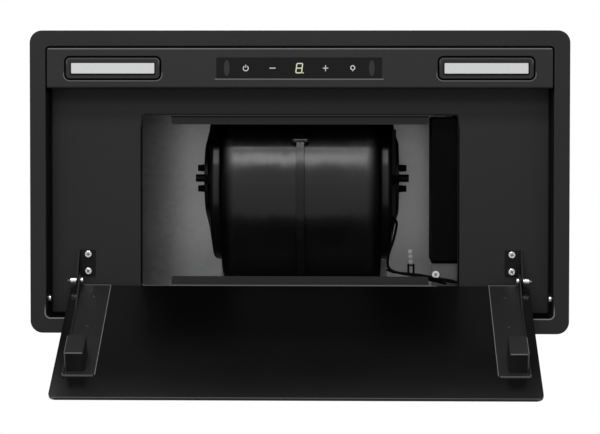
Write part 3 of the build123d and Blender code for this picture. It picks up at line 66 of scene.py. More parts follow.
# Shader helpers
class Wire:
    """A socket of a material's nodes. Arithmetic on it adds Math nodes."""

    def __init__(self, paint, socket):
        self.paint = paint
        self.socket = socket

    def math(self, operation, *values):
        sockets = dict(enumerate(values))
        return self.paint.node("ShaderNodeMath", {"operation": operation}, sockets)

    def __add__(self, other):
        return self.math("ADD", self, other)

    def __radd__(self, other):
        return self.math("ADD", other, self)

    def __sub__(self, other):
        return self.math("SUBTRACT", self, other)

    def __rsub__(self, other):
        return self.math("SUBTRACT", other, self)

    def __mul__(self, other):
        return self.math("MULTIPLY", self, other)

    def __pow__(self, other):
        return self.math("POWER", self, other)

    def __abs__(self):
        return self.math("ABSOLUTE", self)

    def sine(self):
        return self.math("SINE", self)

    def most(self, other):
        return self.math("MAXIMUM", self, other)

    def least(self, other):
        return self.math("MINIMUM", self, other)

    def over(self, base, gain):
        return base + self * gain

    def around(self, base, spread):
        """base, raised and lowered by a noise whose middle is 0.5."""
        return base + (self - 0.5) * spread


# Sockets of the Mix node when it mixes colours
MIX_SHARE, MIX_FIRST, MIX_SECOND, MIX_OUT = 0, 6, 7, 2

# How much of a line's width is full, and where it has gone
LINE_FULL, LINE_GONE = 0.35, 0.65

# The panel hangs open; its paint is laid out as if it were shut
PANEL_SWING = radians(-118)
PANEL_PIVOT = Vector((0.0, 0.097, 0.0118))


class Paint:
    """A material, made node by node. All places and widths are in metres."""

    def __init__(self, name):
        self.material = bpy.data.materials.new(name)
        self.material.use_nodes = True
        self.tree = self.material.node_tree
        self.shader = self.tree.nodes["Principled BSDF"]
        self.place = self.node("ShaderNodeTexCoord", out="Object")

    def node(self, kind, settings=None, sockets=None, out=0):
        made = self.tree.nodes.new(kind)
        for key, value in (settings or {}).items():
            setattr(made, key, value)
        for key, value in (sockets or {}).items():
            self.feed(made.inputs[key], value)
        return Wire(self, made.outputs[out])

    def feed(self, socket, value):
        if isinstance(value, Wire):
            self.tree.links.new(value.socket, socket)
        else:
            socket.default_value = value

    def noise(self, per_metre, detail=2.0, stretch=None):
        where = self.place
        if stretch:
            where = self.node("ShaderNodeMapping", None, {"Vector": where, "Scale": stretch})
        sockets = {"Vector": where, "Scale": per_metre, "Detail": detail}
        return self.node("ShaderNodeTexNoise", None, sockets)

    def cells(self, per_metre):
        """Crystal cells, each with a level of its own."""
        sockets = {"Vector": self.place, "Scale": per_metre}
        cell = self.node("ShaderNodeTexVoronoi", None, sockets, "Color")
        return self.node("ShaderNodeSeparateColor", None, {"Color": cell})

    def above(self, value, low, high):
        """0 below low and 1 above high, smooth between."""
        settings = {"interpolation_type": "SMOOTHSTEP"}
        sockets = {"Value": value, "From Min": low, "From Max": high}
        return self.node("ShaderNodeMapRange", settings, sockets)

    def below(self, value, low, high):
        """1 below low and 0 above high, smooth between."""
        return 1 - self.above(value, low, high)

    def line(self, value, at, width):
        """1 along a line where value equals at, soft at its sides."""
        return self.below(abs(value - at), width * LINE_FULL, width * LINE_GONE)

    def split(self, vector):
        """X, Y and Z of a vector."""
        made = self.node("ShaderNodeSeparateXYZ", None, {"Vector": vector}).socket.node
        return [Wire(self, socket) for socket in made.outputs]

    def xyz(self):
        """X, Y and Z in the hood."""
        return self.split(self.place)

    def shut_xyz(self):
        """X, Y and Z on the panel as if it were swung shut."""
        turn = Matrix.Rotation(PANEL_SWING, 3, "X")
        sockets = {
            "Vector": self.place,
            "Rotation": (PANEL_SWING, 0.0, 0.0),
            "Location": PANEL_PIVOT - turn @ PANEL_PIVOT,
        }
        return self.split(self.node("ShaderNodeMapping", {"vector_type": "POINT"}, sockets))

    def beyond(self, x, y, shape):
        """Distance in plan outside a rounded rectangle and its mirror image; shape is
        its middle's X and Y, half its width and depth, and the corner radius."""
        middle_x, middle_y, half_w, half_d, corner = shape
        across = abs(abs(x) - middle_x) - (half_w - corner)
        along = abs(y - middle_y) - (half_d - corner)
        outside = (across.most(0.0) ** 2.0 + along.most(0.0) ** 2.0) ** 0.5
        return outside + across.most(along).least(0.0) - corner

    def mix(self, share, first, second):
        sockets = {MIX_SHARE: share, MIX_FIRST: first, MIX_SECOND: second}
        return self.node("ShaderNodeMix", {"data_type": "RGBA"}, sockets, MIX_OUT)

    def tones(self, share, level, low, high, warmth=0.0):
        """Greys from low to high times level."""
        return self.mix(share, grey(level * low, warmth), grey(level * high, warmth))

    def bump(self, height, distance):
        """Surface raised by distance where height is 1."""
        return self.node("ShaderNodeBump", None, {"Height": height, "Distance": distance})

    def done(self, **sockets):
        for name, value in sockets.items():
            self.feed(self.shader.inputs[name.replace("_", " ")], value)
        return self.material


def grey(level, warmth=0.0):
    """A colour close to grey; warmth moves it from blue towards red."""
    return (level * (1 + warmth), level, level * (1 - warmth), 1.0)


# Finishes. An outline is a shape for Paint.beyond. Here a pair named X, Y, Z or EDGE says
# where a soft step begins and ends, and a pair named LINE a line's middle and width.
RECESS_OUTLINE = (0.0, 0.0, 0.246, 0.131, 0.003)
BEZEL_OUTLINE = (0.1815, -0.111, 0.0468, 0.01125, 0.005)
LENS_OUTLINE = (0.1815, -0.1104, 0.0408, 0.0056, 0.001)
OPENING_OUTLINE = (0.0, 0.0189, 0.1555, 0.08425, 0.0025)

COAT_WARMTH = -0.01
COAT_CLOUD, COAT_CLOUD_ROUGH = 7.0, 0.1
COAT_SPECK, COAT_SPECK_EDGE = 620.0, (0.74, 0.8)
COAT_SPECK_SHARE, COAT_SPECK_LIGHT = 0.35, 3.0
# Painted shade: near-black, metal-like and rougher, so that it mirrors almost nothing
PAINTED_SHADE_LEVEL, PAINTED_SHADE_METAL, PAINTED_SHADE_ROUGH = 0.0004, 0.9, 0.25


def powder_coat(name, level, roughness, specular, grain=0.0006, peel=0.00002, details=None):
    """Black powder coat: fine pebble texture, faint cloudiness and a few light specks.
    details gives masks for painted highlights on edges and for painted shade."""
    paint = Paint(name)
    pebble = paint.noise(1 / grain, detail=1.0)
    cloud = paint.noise(COAT_CLOUD, detail=3.0)
    speck = paint.noise(COAT_SPECK, detail=0.0)
    colour = paint.tones(cloud, level, low=0.86, high=1.14, warmth=COAT_WARMTH)
    speck = paint.above(speck, *COAT_SPECK_EDGE) * COAT_SPECK_SHARE
    colour = paint.mix(speck, colour, grey(level * COAT_SPECK_LIGHT, COAT_WARMTH))
    painted_shade = 0.0
    if details:
        lit, light, painted_shade = details(paint)
        colour = paint.mix(lit, colour, grey(light, COAT_WARMTH))
        colour = paint.mix(painted_shade, colour, grey(PAINTED_SHADE_LEVEL))
    return paint.done(
        Base_Color=colour,
        Metallic=painted_shade * PAINTED_SHADE_METAL,
        Roughness=cloud.around(roughness, COAT_CLOUD_ROUGH) + painted_shade * PAINTED_SHADE_ROUGH,
        Specular_IOR_Level=specular,
        Normal=paint.bump(pebble, peel),
    )


RIM_BEND_LINE, RIM_LIT_Y = (0.0021, 0.001), (0.118, 0.128)
SIDE_WALL_X, SIDE_WALL_Y = (0.2435, 0.245), (-0.09, -0.085)
WALL_EDGE = (0.001, 0.0015)
RIM_LIGHT, SIDE_WALL_SHEEN = 0.15, 0.4


def rim_details(paint):
    """Painted highlight on the bend along the recess, at the wall side; painted shade on the walls
    inside it, less of it on the side walls.
    """
    x, y, _ = paint.xyz()
    beyond = paint.beyond(x, y, RECESS_OUTLINE)
    lit = paint.line(beyond, *RIM_BEND_LINE) * paint.above(y, *RIM_LIT_Y)
    side = paint.above(abs(x), *SIDE_WALL_X) * paint.above(y, *SIDE_WALL_Y)
    painted_shade = paint.below(beyond, *WALL_EDGE) * (1 - side * SIDE_WALL_SHEEN)
    return lit, RIM_LIGHT, painted_shade


STRIP_BEND_LINE, STRIP_BEND_SHARE = (-0.1298, 0.001), 0.7
BEZEL_LINE, BEZEL_REAR_Y, BEZEL_SHARE = (0.0012, 0.0009), (-0.1085, -0.1045), 0.6
FASCIA_LINE, FASCIA_END_X, FASCIA_SHARE = (-0.1002, 0.0009), (0.0815, 0.0825), 0.8
BEZEL_SHADE_EDGE = (0.0004, 0.0008)
STRIP_LIGHT = 0.14


def strip_details(paint):
    """Painted highlight on the strip's front bend, behind each lamp bezel and behind the keys;
    painted shade in the gap round each bezel."""
    x, y, _ = paint.xyz()
    past_bezel = paint.beyond(x, y, BEZEL_OUTLINE)
    front = paint.line(y, *STRIP_BEND_LINE) * STRIP_BEND_SHARE
    bezel = paint.line(past_bezel, *BEZEL_LINE) * paint.above(y, *BEZEL_REAR_Y) * BEZEL_SHARE
    keys = paint.line(y, *FASCIA_LINE) * paint.below(abs(x), *FASCIA_END_X) * FASCIA_SHARE
    return front.most(bezel).most(keys), STRIP_LIGHT, paint.below(past_bezel, *BEZEL_SHADE_EDGE)


HEM_LINE, HEM_SHADE_LINE = (-0.0002, 0.0011), (0.0011, 0.0011)
HEM_REAR_Y, HEM_REAR_END_X = (0.1, 0.102), (0.134, 0.136)
HEM_FRONT_Y, HEM_FRONT_SHARE = (-0.064, -0.062), 0.35
HEM_SHADE_Y = (-0.06, -0.05)
PLATE_LIGHT = 0.11


def plate_details(paint):
    """Painted highlight on the hem of the filter opening, most of it at the wall side; painted
    shade in a line round the opening."""
    x, y, _ = paint.xyz()
    beyond = paint.beyond(x, y, OPENING_OUTLINE)
    rear = paint.above(y, *HEM_REAR_Y) * paint.below(x, *HEM_REAR_END_X)
    front = paint.below(y, *HEM_FRONT_Y) * HEM_FRONT_SHARE
    lit = paint.line(beyond, *HEM_LINE) * rear.most(front)
    return lit, PLATE_LIGHT, paint.line(beyond, *HEM_SHADE_LINE) * paint.above(y, *HEM_SHADE_Y)


RING_IN_X, RING_OUT_X = (0.0818, 0.0828), (0.087, 0.0885)
RING_FRONT_Y, RING_BRIGHT_Y, RING_REAR_Y = (-0.0325, -0.0285), (-0.021, -0.0125), (0.02, 0.029)
RING_SHADE_Y, RING_SHADE = (-0.0345, -0.031), 0.8
RING_LIGHT, RING_FAINT_SHARE = 0.115, 0.15


def spider_details(paint):
    """Painted highlight on the spider's foot ring, strongest at its front end; painted shade ahead.
    """
    x, y, _ = paint.xyz()
    ring = paint.above(abs(x), *RING_IN_X) * paint.below(abs(x), *RING_OUT_X)
    front = paint.above(y, *RING_FRONT_Y)
    bright = front * paint.below(y, *RING_BRIGHT_Y)
    faint = front * paint.below(y, *RING_REAR_Y) * RING_FAINT_SHARE
    return ring * bright.most(faint), RING_LIGHT, paint.below(y, *RING_SHADE_Y) * RING_SHADE


ARM_INNER_X, ARM_FACE_Z = (0.1856, 0.1861), (0.0056, 0.006)
ARM_TIP_Y, ARM_TIP_SHARE = (-0.0553, -0.0547), 0.5
ARM_HEEL_Y, ARM_HEEL_SHARE = (0.0981, 0.0986), 0.35
ARM_LIGHT = 0.22


def arm_details(paint):
    """Painted highlight on the arm plate's cut edges: the inner one, the tip and the heel."""
    x, y, z = paint.shut_xyz()
    inner = paint.below(abs(x), *ARM_INNER_X)
    tip = paint.below(y, *ARM_TIP_Y) * ARM_TIP_SHARE
    heel = paint.above(y, *ARM_HEEL_Y) * paint.below(z, *ARM_FACE_Z) * ARM_HEEL_SHARE
    return inner.most(tip).most(heel), ARM_LIGHT, 0.0


PANEL_LIP_LINE, PANEL_LIGHT = (-0.0883, 0.0012), 0.07
LEE_Y, LEE_END_X, LEE_SHADE = (-0.05, 0.03), (0.11, 0.18), 0.8


def panel_details(paint):
    """Painted highlight on the lip along the panel's free edge; painted shade in the lee of the
    opening.
    """
    x, y, _ = paint.shut_xyz()
    lee = paint.above(y, *LEE_Y) * paint.below(abs(x), *LEE_END_X)
    return paint.line(y, *PANEL_LIP_LINE), PANEL_LIGHT, lee * LEE_SHADE


# Painted light towards the right; under the top sheet, painted shade on the left and painted light
# on the right
ZINC_WARMTH, ZINC_PAINTED_LIGHT = -0.004, 1.55
ZINC_LIGHT_X, ZINC_LIGHT_SHARE = (-0.16, 0.15), 0.5
SPANGLE, SPANGLE_SHARE, SPANGLE_ROUGH = 160.0, 0.6, 0.05
ROLLED, ROLLED_STRETCH, ROLLED_DEPTH = 1500.0, (0.03, 1.0, 1.0), 0.00005
UNDERSIDE_Z, UPPERSIDE_Z = (0.235, 0.243), (0.2464, 0.2467)
SHADE_LEFT_X, SHADE_LEFT_SHARE, SHADE_LEFT_LEVEL = (-0.158, -0.122), 0.3, 0.02
LIGHT_RIGHT_X, LIGHT_RIGHT_SHARE = (0.105, 0.135), 0.25


def galvanised_sheet(name, level, roughness):
    """Hot-dip galvanised sheet: spangles of differing tone, rolled along X, with painted light
    towards the right. Under the top sheet, painted shade on the left and painted light on the
    right."""
    paint = Paint(name)
    x, _, z = paint.xyz()
    rolled = paint.noise(ROLLED, detail=1.0, stretch=ROLLED_STRETCH)
    tone = paint.cells(SPANGLE) * SPANGLE_SHARE + rolled * (1 - SPANGLE_SHARE)
    under = paint.above(z, *UNDERSIDE_Z) * paint.below(z, *UPPERSIDE_Z)
    shade_left = under * paint.below(x, *SHADE_LEFT_X) * SHADE_LEFT_SHARE
    light_right = under * paint.above(x, *LIGHT_RIGHT_X) * LIGHT_RIGHT_SHARE
    right = paint.above(x, *ZINC_LIGHT_X) * ZINC_LIGHT_SHARE
    colour = paint.tones(tone, level, low=0.9, high=1.08, warmth=ZINC_WARMTH)
    colour = paint.mix(shade_left, colour, grey(SHADE_LEFT_LEVEL))
    return paint.done(
        Base_Color=paint.mix(right + light_right, colour, grey(level * ZINC_PAINTED_LIGHT, ZINC_WARMTH)),
        Metallic=1.0,
        Roughness=tone.around(roughness, SPANGLE_ROUGH),
        Normal=paint.bump(rolled, ROLLED_DEPTH),
    )


PLATE_LOW, PLATE_WARM, PLATE_COLD = 0.88, 0.012, -0.01


def plated_steel(name, level, roughness):
    """Zinc plate on small turned and pressed steel parts."""
    paint = Paint(name)
    brushed = paint.noise(per_metre=2600.0)
    stain = paint.noise(per_metre=240.0)
    return paint.done(
        Base_Color=paint.mix(stain, grey(level * PLATE_LOW, PLATE_WARM), grey(level, PLATE_COLD)),
        Metallic=1.0,
        Roughness=stain.over(roughness, gain=0.16),
        Normal=paint.bump(brushed, distance=0.000006),
    )


CORE_SHEET = 0.0005


def lamination(name):
    """Stacked core steel: fine sheets across the motor's axis."""
    paint = Paint(name)
    x, _, _ = paint.xyz()
    sheet = (x * (pi * 2 / CORE_SHEET)).sine()
    rust = paint.noise(per_metre=300.0, detail=3.0)
    return paint.done(
        Base_Color=paint.mix(rust, grey(level=0.22, warmth=0.05), grey(level=0.42, warmth=0.01)),
        Metallic=1.0,
        Roughness=rust.over(base=0.42, gain=0.2),
        Normal=paint.bump(sheet, distance=0.00008),
    )


def heat_sink_metal(name):
    """Extruded aluminium, drawn along X."""
    paint = Paint(name)
    drawn = paint.noise(per_metre=1400.0, detail=3.0, stretch=(0.02, 1.0, 1.0))
    return paint.done(
        Base_Color=paint.mix(drawn, grey(level=0.62), grey(level=0.8)),
        Metallic=1.0,
        Roughness=drawn.over(base=0.3, gain=0.14),
        Normal=paint.bump(drawn, distance=0.00001),
    )


DUST, DUST_EDGE, DUST_SHARE, DUST_LIGHT = 1500.0, (0.75, 0.8), 0.4, 6


def gloss_plastic(name, level, roughness, specular):
    """Polished black acrylic with faint wiping marks."""
    paint = Paint(name)
    wiped = paint.noise(per_metre=60.0, detail=4.0, stretch=(0.3, 1.0, 1.0))
    dust = paint.above(paint.noise(DUST, detail=0.0), *DUST_EDGE) * DUST_SHARE
    return paint.done(
        Base_Color=paint.tones(dust, level, low=1, high=DUST_LIGHT),
        Roughness=wiped.over(roughness, gain=0.07),
        Specular_IOR_Level=specular,
        Normal=paint.bump(wiped, distance=0.00001),
    )


# Painted highlight round the inlets; painted shade on the shoulders, seam and rear of the drum
BELL_X, BELL_HIGHLIGHT_LEVEL = (0.082, 0.084), 0.28
SHOULDER_X, SHOULDER_ROUGH = (0.0645, 0.0755), 0.2
SEAM_X, SEAM_METAL = (0.0042, 0.0052), 0.25
DRUM_REAR_Y, DRUM_REAR_METAL, DRUM_REAR_ROUGH = (0.038, 0.062), 0.45, 0.25
DRUM_LEVEL, DRUM_METAL, DRUM_ROUGH, DRUM_SPECULAR = 0.003, 0.92, 0.225, 0.42
SINK, SINK_STRETCH, SINK_ROUGH, SINK_DEPTH = 34.0, (1.0, 0.4, 0.4), 0.12, 0.0012
GLOSS_CLOUD, GLOSS_CLOUD_STRETCH, GLOSS_CLOUD_ROUGH = 22.0, (1.0, 0.25, 0.25), 0.18


def scroll_gloss(name):
    """Glossy black moulding: drum with slow sink marks; painted shade, as black metal that mirrors
    little, on the rolled shoulders, the seam and the rear; painted highlight in grey round the
    inlets."""
    paint = Paint(name)
    x, y, _ = paint.xyz()
    bell = paint.above(abs(x), *BELL_X)
    shoulder = paint.above(abs(x), *SHOULDER_X) - bell
    seam = paint.below(abs(x), *SEAM_X)
    rear = paint.above(y, *DRUM_REAR_Y)
    sink = paint.noise(SINK, detail=3.0, stretch=SINK_STRETCH)
    cloud = paint.noise(GLOSS_CLOUD, stretch=GLOSS_CLOUD_STRETCH)
    # Painted shade: black metal that mirrors almost nothing
    matt = shoulder.most(seam * SEAM_METAL).most(rear * DRUM_REAR_METAL)
    uneven = cloud.around(sink.around(DRUM_ROUGH, SINK_ROUGH), GLOSS_CLOUD_ROUGH)
    colour = paint.tones(sink, DRUM_LEVEL, low=0.5, high=1)
    return paint.done(
        Base_Color=paint.mix(bell, colour, grey(BELL_HIGHLIGHT_LEVEL)),
        Metallic=matt * DRUM_METAL,
        Roughness=uneven + shoulder * SHOULDER_ROUGH + rear * DRUM_REAR_ROUGH,
        Specular_IOR_Level=DRUM_SPECULAR,
        Normal=paint.bump(sink, SINK_DEPTH),
    )


GRAIN, GRAIN_DETAIL, GRAIN_LOW, GRAIN_HIGH, GRAIN_ROUGH = 1700.0, 1.0, 0.85, 1.15, 0.08
GRAIN_IN_FLOW = 0.02


def moulded_plastic(name, level, roughness, ripple, warmth=0.0, specular=0.5):
    """Injection moulded plastic: flow marks, slow ripple and a fine grain."""
    paint = Paint(name)
    flow = paint.noise(per_metre=26.0, detail=3.0, stretch=(0.35, 1.0, 1.0))
    height = flow + paint.noise(GRAIN, GRAIN_DETAIL) * GRAIN_IN_FLOW
    return paint.done(
        Base_Color=paint.tones(flow, level, GRAIN_LOW, GRAIN_HIGH, warmth),
        Roughness=flow.around(roughness, spread=0.12),
        Specular_IOR_Level=specular,
        Normal=paint.bump(height, ripple),
    )


# Painted shade in the groove and round the lens; painted highlight on the lip
GROOVE_SHADE_EDGE, GROOVE_SHADE_METAL = (-0.0013, -0.001), 0.98
LIP_LINE, LIP_FRONT_Y, LIP_LIGHT = (-0.0019, 0.0009), (-0.1175, -0.1125), 0.07
LENS_SHADE_EDGE, LENS_SHADE_SHARE = (0.0009, 0.0013), 0.7


def bezel_moulding(name, level, roughness):
    """Lamp bezel: painted shade in the groove round it and in a line about the lens;
    painted highlight on the lip in front.
    """
    paint = Paint(name)
    x, y, _ = paint.xyz()
    grain = paint.noise(GRAIN, GRAIN_DETAIL)
    beyond = paint.beyond(x, y, BEZEL_OUTLINE)
    lip = paint.line(beyond, *LIP_LINE) * paint.below(y, *LIP_FRONT_Y)
    lens = paint.below(paint.beyond(x, y, LENS_OUTLINE), *LENS_SHADE_EDGE) * LENS_SHADE_SHARE
    painted_shade = paint.above(beyond, *GROOVE_SHADE_EDGE).most(lens)
    colour = paint.tones(grain, level, GRAIN_LOW, GRAIN_HIGH)
    colour = paint.mix(lip, colour, grey(LIP_LIGHT))
    return paint.done(
        Base_Color=paint.mix(painted_shade, colour, grey(PAINTED_SHADE_LEVEL)),
        Metallic=painted_shade * GROOVE_SHADE_METAL,
        Roughness=grain.over(roughness, GRAIN_ROUGH),
        Specular_IOR_Level=0.3,
        Normal=paint.bump(grain, distance=0.000002),
    )


BLOCK_END_Y, BLOCK_END_LIGHT = (-0.0493, -0.0487), 1.2
BLOCK_DEEP_Z, BLOCK_DEEP_SHADE = (0.0053, 0.0255), 0.4
BLOCK_OUTER_X, BLOCK_OUTER_SHADE = (0.1958, 0.2138), 0.3
BLOCK_CORNER_LINE, BLOCK_CORNER_Z = (-0.0488, 0.0011), (0.0243, 0.0249)
BLOCK_SIDE_LINE, BLOCK_SIDE_SHARE = (0.2132, 0.0009), 0.45
BLOCK_LIGHT, BLOCK_SHADE_METAL = 0.085, 0.85


def block_moulding(name, level, roughness):
    """Catch block: matt moulding with painted highlights on two edges; its end face painted
    lighter, with painted shade towards its top and its outer edge."""
    paint = Paint(name)
    x, y, z = paint.shut_xyz()
    grain = paint.noise(GRAIN, GRAIN_DETAIL)
    end = paint.below(y, *BLOCK_END_Y)
    deep = paint.above(z, *BLOCK_DEEP_Z) * BLOCK_DEEP_SHADE
    outer = paint.above(abs(x), *BLOCK_OUTER_X) * BLOCK_OUTER_SHADE
    corner = paint.line(y, *BLOCK_CORNER_LINE) * paint.above(z, *BLOCK_CORNER_Z)
    side = paint.line(abs(x), *BLOCK_SIDE_LINE) * BLOCK_SIDE_SHARE
    colour = paint.tones(grain, level, GRAIN_LOW, GRAIN_HIGH)
    colour = paint.mix(end, colour, grey(level * BLOCK_END_LIGHT))
    colour = paint.mix(corner.most(side), colour, grey(BLOCK_LIGHT))
    return paint.done(
        Base_Color=colour,
        Metallic=end * (deep + outer) * BLOCK_SHADE_METAL,
        Roughness=grain.over(roughness, GRAIN_ROUGH),
        Specular_IOR_Level=0.2,
        Normal=paint.bump(grain, distance=0.000004),
    )


MILK_LOW, MILK_HIGH = (0.475, 0.48, 0.48, 1.0), (0.52, 0.525, 0.525, 1.0)
# Painted shade along the lens's front edge
LENS_FRONT_Y, LENS_FRONT_SHADE_LEVEL = (-0.116, -0.1155), 0.01


def opal_lens(name):
    """Opal diffuser: milky plastic with painted shade along its front edge."""
    paint = Paint(name)
    _, y, _ = paint.xyz()
    milk = paint.noise(per_metre=500.0)
    front = paint.below(y, *LENS_FRONT_Y)
    colour = paint.mix(milk, MILK_LOW, MILK_HIGH)
    return paint.done(
        Base_Color=paint.mix(front, colour, grey(LENS_FRONT_SHADE_LEVEL)),
        Roughness=milk.over(base=0.3, gain=0.1),
        Normal=paint.bump(milk, distance=0.00001),
    )


BOARD_MASK, BOARD_TRACK = (0.012, 0.09, 0.035, 1.0), (0.02, 0.16, 0.06, 1.0)
TRACK, TRACK_STRETCH, TRACK_EDGE = 420.0, (0.3, 1.0, 1.0), (0.5, 0.53)


def circuit_board(name):
    """Green solder mask over copper tracks."""
    paint = Paint(name)
    track = paint.noise(TRACK, detail=0.0, stretch=TRACK_STRETCH)
    track = paint.above(track, *TRACK_EDGE)
    return paint.done(
        Base_Color=paint.mix(track, BOARD_MASK, BOARD_TRACK),
        Roughness=track.over(base=0.32, gain=0.08),
        Normal=paint.bump(track, distance=0.00003),
    )


def printed_ink(name, level):
    """Screen printed ink, slightly uneven where the mesh laid it."""
    paint = Paint(name)
    mesh = paint.noise(per_metre=3000.0, detail=1.0)
    return paint.done(
        Base_Color=paint.tones(mesh, level, low=0.85, high=1),
        Roughness=mesh.over(base=0.45, gain=0.1),
        Normal=paint.bump(mesh, distance=0.000005),
    )


WINDOW_COLOUR = (0.05, 0.05, 0.04, 1.0)
SEGMENT_LOW, SEGMENT_HIGH = (0.5, 0.5, 0.36, 1.0), (0.62, 0.64, 0.45, 1.0)


def lit_segment(name):
    """Pale yellow lit segments behind a clear window, slightly uneven."""
    paint = Paint(name)
    spread = paint.noise(per_metre=900.0, detail=1.0)
    return paint.done(
        Base_Color=WINDOW_COLOUR,
        Emission_Color=paint.mix(spread, SEGMENT_LOW, SEGMENT_HIGH),
        Emission_Strength=1.0,
        Roughness=spread.over(base=0.3, gain=0.1),
    )


def rubber(name, level, roughness, specular=0.5):
    """Moulded rubber or lead sheath: matt, slightly dusty, fine pitting."""
    paint = Paint(name)
    pit = paint.noise(per_metre=1500.0)
    dust = paint.noise(per_metre=35.0, detail=3.0)
    return paint.done(
        Base_Color=paint.tones(dust, level, low=0.8, high=1.3, warmth=0.01),
        Roughness=dust.around(roughness, spread=0.2),
        Specular_IOR_Level=specular,
        Normal=paint.bump(pit, distance=0.00002),
    )


# Each coat: colour level, roughness and how strongly it mirrors
rim_coat = powder_coat("rim_coat", 0.0105, 0.5, 0.2, details=rim_details)
plate_coat = powder_coat("plate_coat", 0.0105, 0.52, 0.2, details=plate_details)
strip_coat = powder_coat("strip_coat", 0.0125, 0.5, 0.22, details=strip_details)
panel_coat = powder_coat("panel_coat", 0.0033, 0.2, 0.28, grain=0.0012, peel=0.000004,
                         details=panel_details)
arm_coat = powder_coat("arm_coat", 0.011, 0.42, 0.2, details=arm_details)
dark_coat = powder_coat("dark_coat", 0.003, 0.45, 0.12)
spider_coat = powder_coat("spider_coat", 0.003, 0.45, 0.12, details=spider_details)
black_oxide = powder_coat("black_oxide", 0.001, 0.5, 0.04, grain=0.0003)

# Metals: level and roughness
casing_zinc = galvanised_sheet("casing_zinc", 0.385, 0.33)
# A darker, rougher copy of the casing zinc
darker_zinc = galvanised_sheet("darker_zinc", 0.07, 0.5)
# A lighter copy of the casing zinc: painted highlight on the dimples
dimple_zinc_highlight = galvanised_sheet("dimple_zinc_highlight", 0.8, 0.3)
bright_zinc = plated_steel("bright_zinc", 0.72, 0.2)
clip_steel = plated_steel("clip_steel", 0.3, 0.34)
core_steel = lamination("core_steel")
aluminium = heat_sink_metal("aluminium")

# Plastics: level and roughness
fascia_gloss = gloss_plastic("fascia_gloss", 0.002, 0.05, specular=0.2)
housing_plastic = moulded_plastic("housing_plastic", 0.02, 0.45, ripple=0.0001)
scroll_plastic = scroll_gloss("scroll_plastic")
wheel_plastic = moulded_plastic("wheel_plastic", 0.012, 0.4, ripple=0.0002)
box_plastic = moulded_plastic("box_plastic", 0.001, 0.5, ripple=0.0001, specular=0.03)
bezel_plastic = bezel_moulding("bezel_plastic", 0.0085, 0.36)
block_plastic = block_moulding("block_plastic", 0.008, 0.5)
white_plastic = moulded_plastic("white_plastic", 0.62, 0.36, ripple=0.0001, warmth=0.02)
opal = opal_lens("opal")
board_green = circuit_board("board_green")
black_sheath = rubber("black_sheath", 0.0008, 0.6, specular=0.03)
grey_sheath = rubber("grey_sheath", 0.2, 0.42)

# Prints and inlays, and painted shade for screw recesses
print_white = printed_ink("print_white", 0.5)
digit_glow = lit_segment("digit_glow")
oval_satin = rubber("oval_satin", 0.009, 0.45, specular=0.3)
recess_shade = rubber("recess_shade", 0.05, 0.6, specular=0.2)

FINISHES = {
    rim_coat: ["rim_frame"],
    plate_coat: ["ceiling_plate", "filter_rail_front", "filter_rail_rear"],
    strip_coat: ["light_strip"],
    panel_coat: ["panel_skin", "panel_liner"],
    arm_coat: ["hinge_arm_left", "hinge_arm_right", "arm_rivets"],
    dark_coat: [
        "hinge_bracket_left", "hinge_bracket_right", "motor_can", "motor_cap",
        "bearing_plate", "seam_bolts",
    ],
    spider_coat: ["inlet_spider_left", "inlet_spider_right"],
    black_oxide: ["mount_bolts"],
    casing_zinc: [
        "casing_rear", "casing_front", "casing_top", "casing_side_left", "casing_side_right",
    ],
    darker_zinc: ["electronics_support"],
    bright_zinc: ["bracket_screws", "hinge_pins", "sheet_screws", "ball_bearings", "motor_shaft"],
    clip_steel: ["side_clip_left", "side_clip_right"],
    core_steel: ["motor_stator", "motor_rotor"],
    aluminium: ["led_module_left", "led_module_right"],
    fascia_gloss: ["control_fascia"],
    housing_plastic: ["control_housing", "mains_gland", "outlet_collar", "flap_rear", "flap_front"],
    block_plastic: ["catch_block_left", "catch_block_right"],
    scroll_plastic: ["scroll_left", "scroll_right"],
    wheel_plastic: ["impeller_hub", "impeller_wheel"],
    box_plastic: ["electronics_box", "electronics_lid"],
    bezel_plastic: ["led_bezel_left", "led_bezel_right"],
    white_plastic: ["run_capacitor"],
    opal: ["led_lens_left", "led_lens_right"],
    board_green: ["control_board"],
    black_sheath: ["motor_lead", "control_lead", "motor_bushes"],
    grey_sheath: ["lamp_leads"],
}


def dress(node, material):
    """Give a piece of the hood one material in place of its own."""
    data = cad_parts[node].data
    data.materials.clear()
    data.materials.append(material)


for material, nodes in FINISHES.items():
    for node in nodes:
        dress(node, material)


# New pieces: prints, inlays, recesses as painted shade, dimples in a painted highlight,
# a black bar of painted shade, clip and strands
QUARTER = pi / 2
EDGE_ROUND = 0.3
RING_STEPS = 28
SAME_POINT, HEAD_DIGITS = 1e-6, 4


def link(name, shape, material):
    """A new object of one material from a shape, which is used up."""
    mesh = bpy.data.meshes.new(name)
    shape.to_mesh(mesh)
    shape.free()
    mesh.materials.append(material)
    piece = bpy.data.objects.new(name, mesh)
    bpy.context.scene.collection.objects.link(piece)
    return piece


def add_piece(name, shape, material, body):
    """A new piece that rides on a body."""
    bmesh.ops.recalc_face_normals(shape, faces=shape.faces)
    piece = link(name, shape, material)
    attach(piece, body)


def round_edges(shape, edges, offset):
    bmesh.ops.bevel(shape, geom=edges, offset=offset, segments=2, profile=0.5,
                    affect="EDGES", material=-1)


def add_bar(shape, place, length, width, height, round_by):
    """Bar with rounded edges; place is the matrix of its middle, long side on X."""
    verts = bmesh.ops.create_cube(shape, size=1.0)["verts"]
    size = Matrix.Diagonal((length, width, height, 1.0))
    bmesh.ops.transform(shape, matrix=place @ size, verts=verts)
    edges = dict.fromkeys(edge for vert in verts for edge in vert.link_edges)
    round_edges(shape, list(edges), round_by)


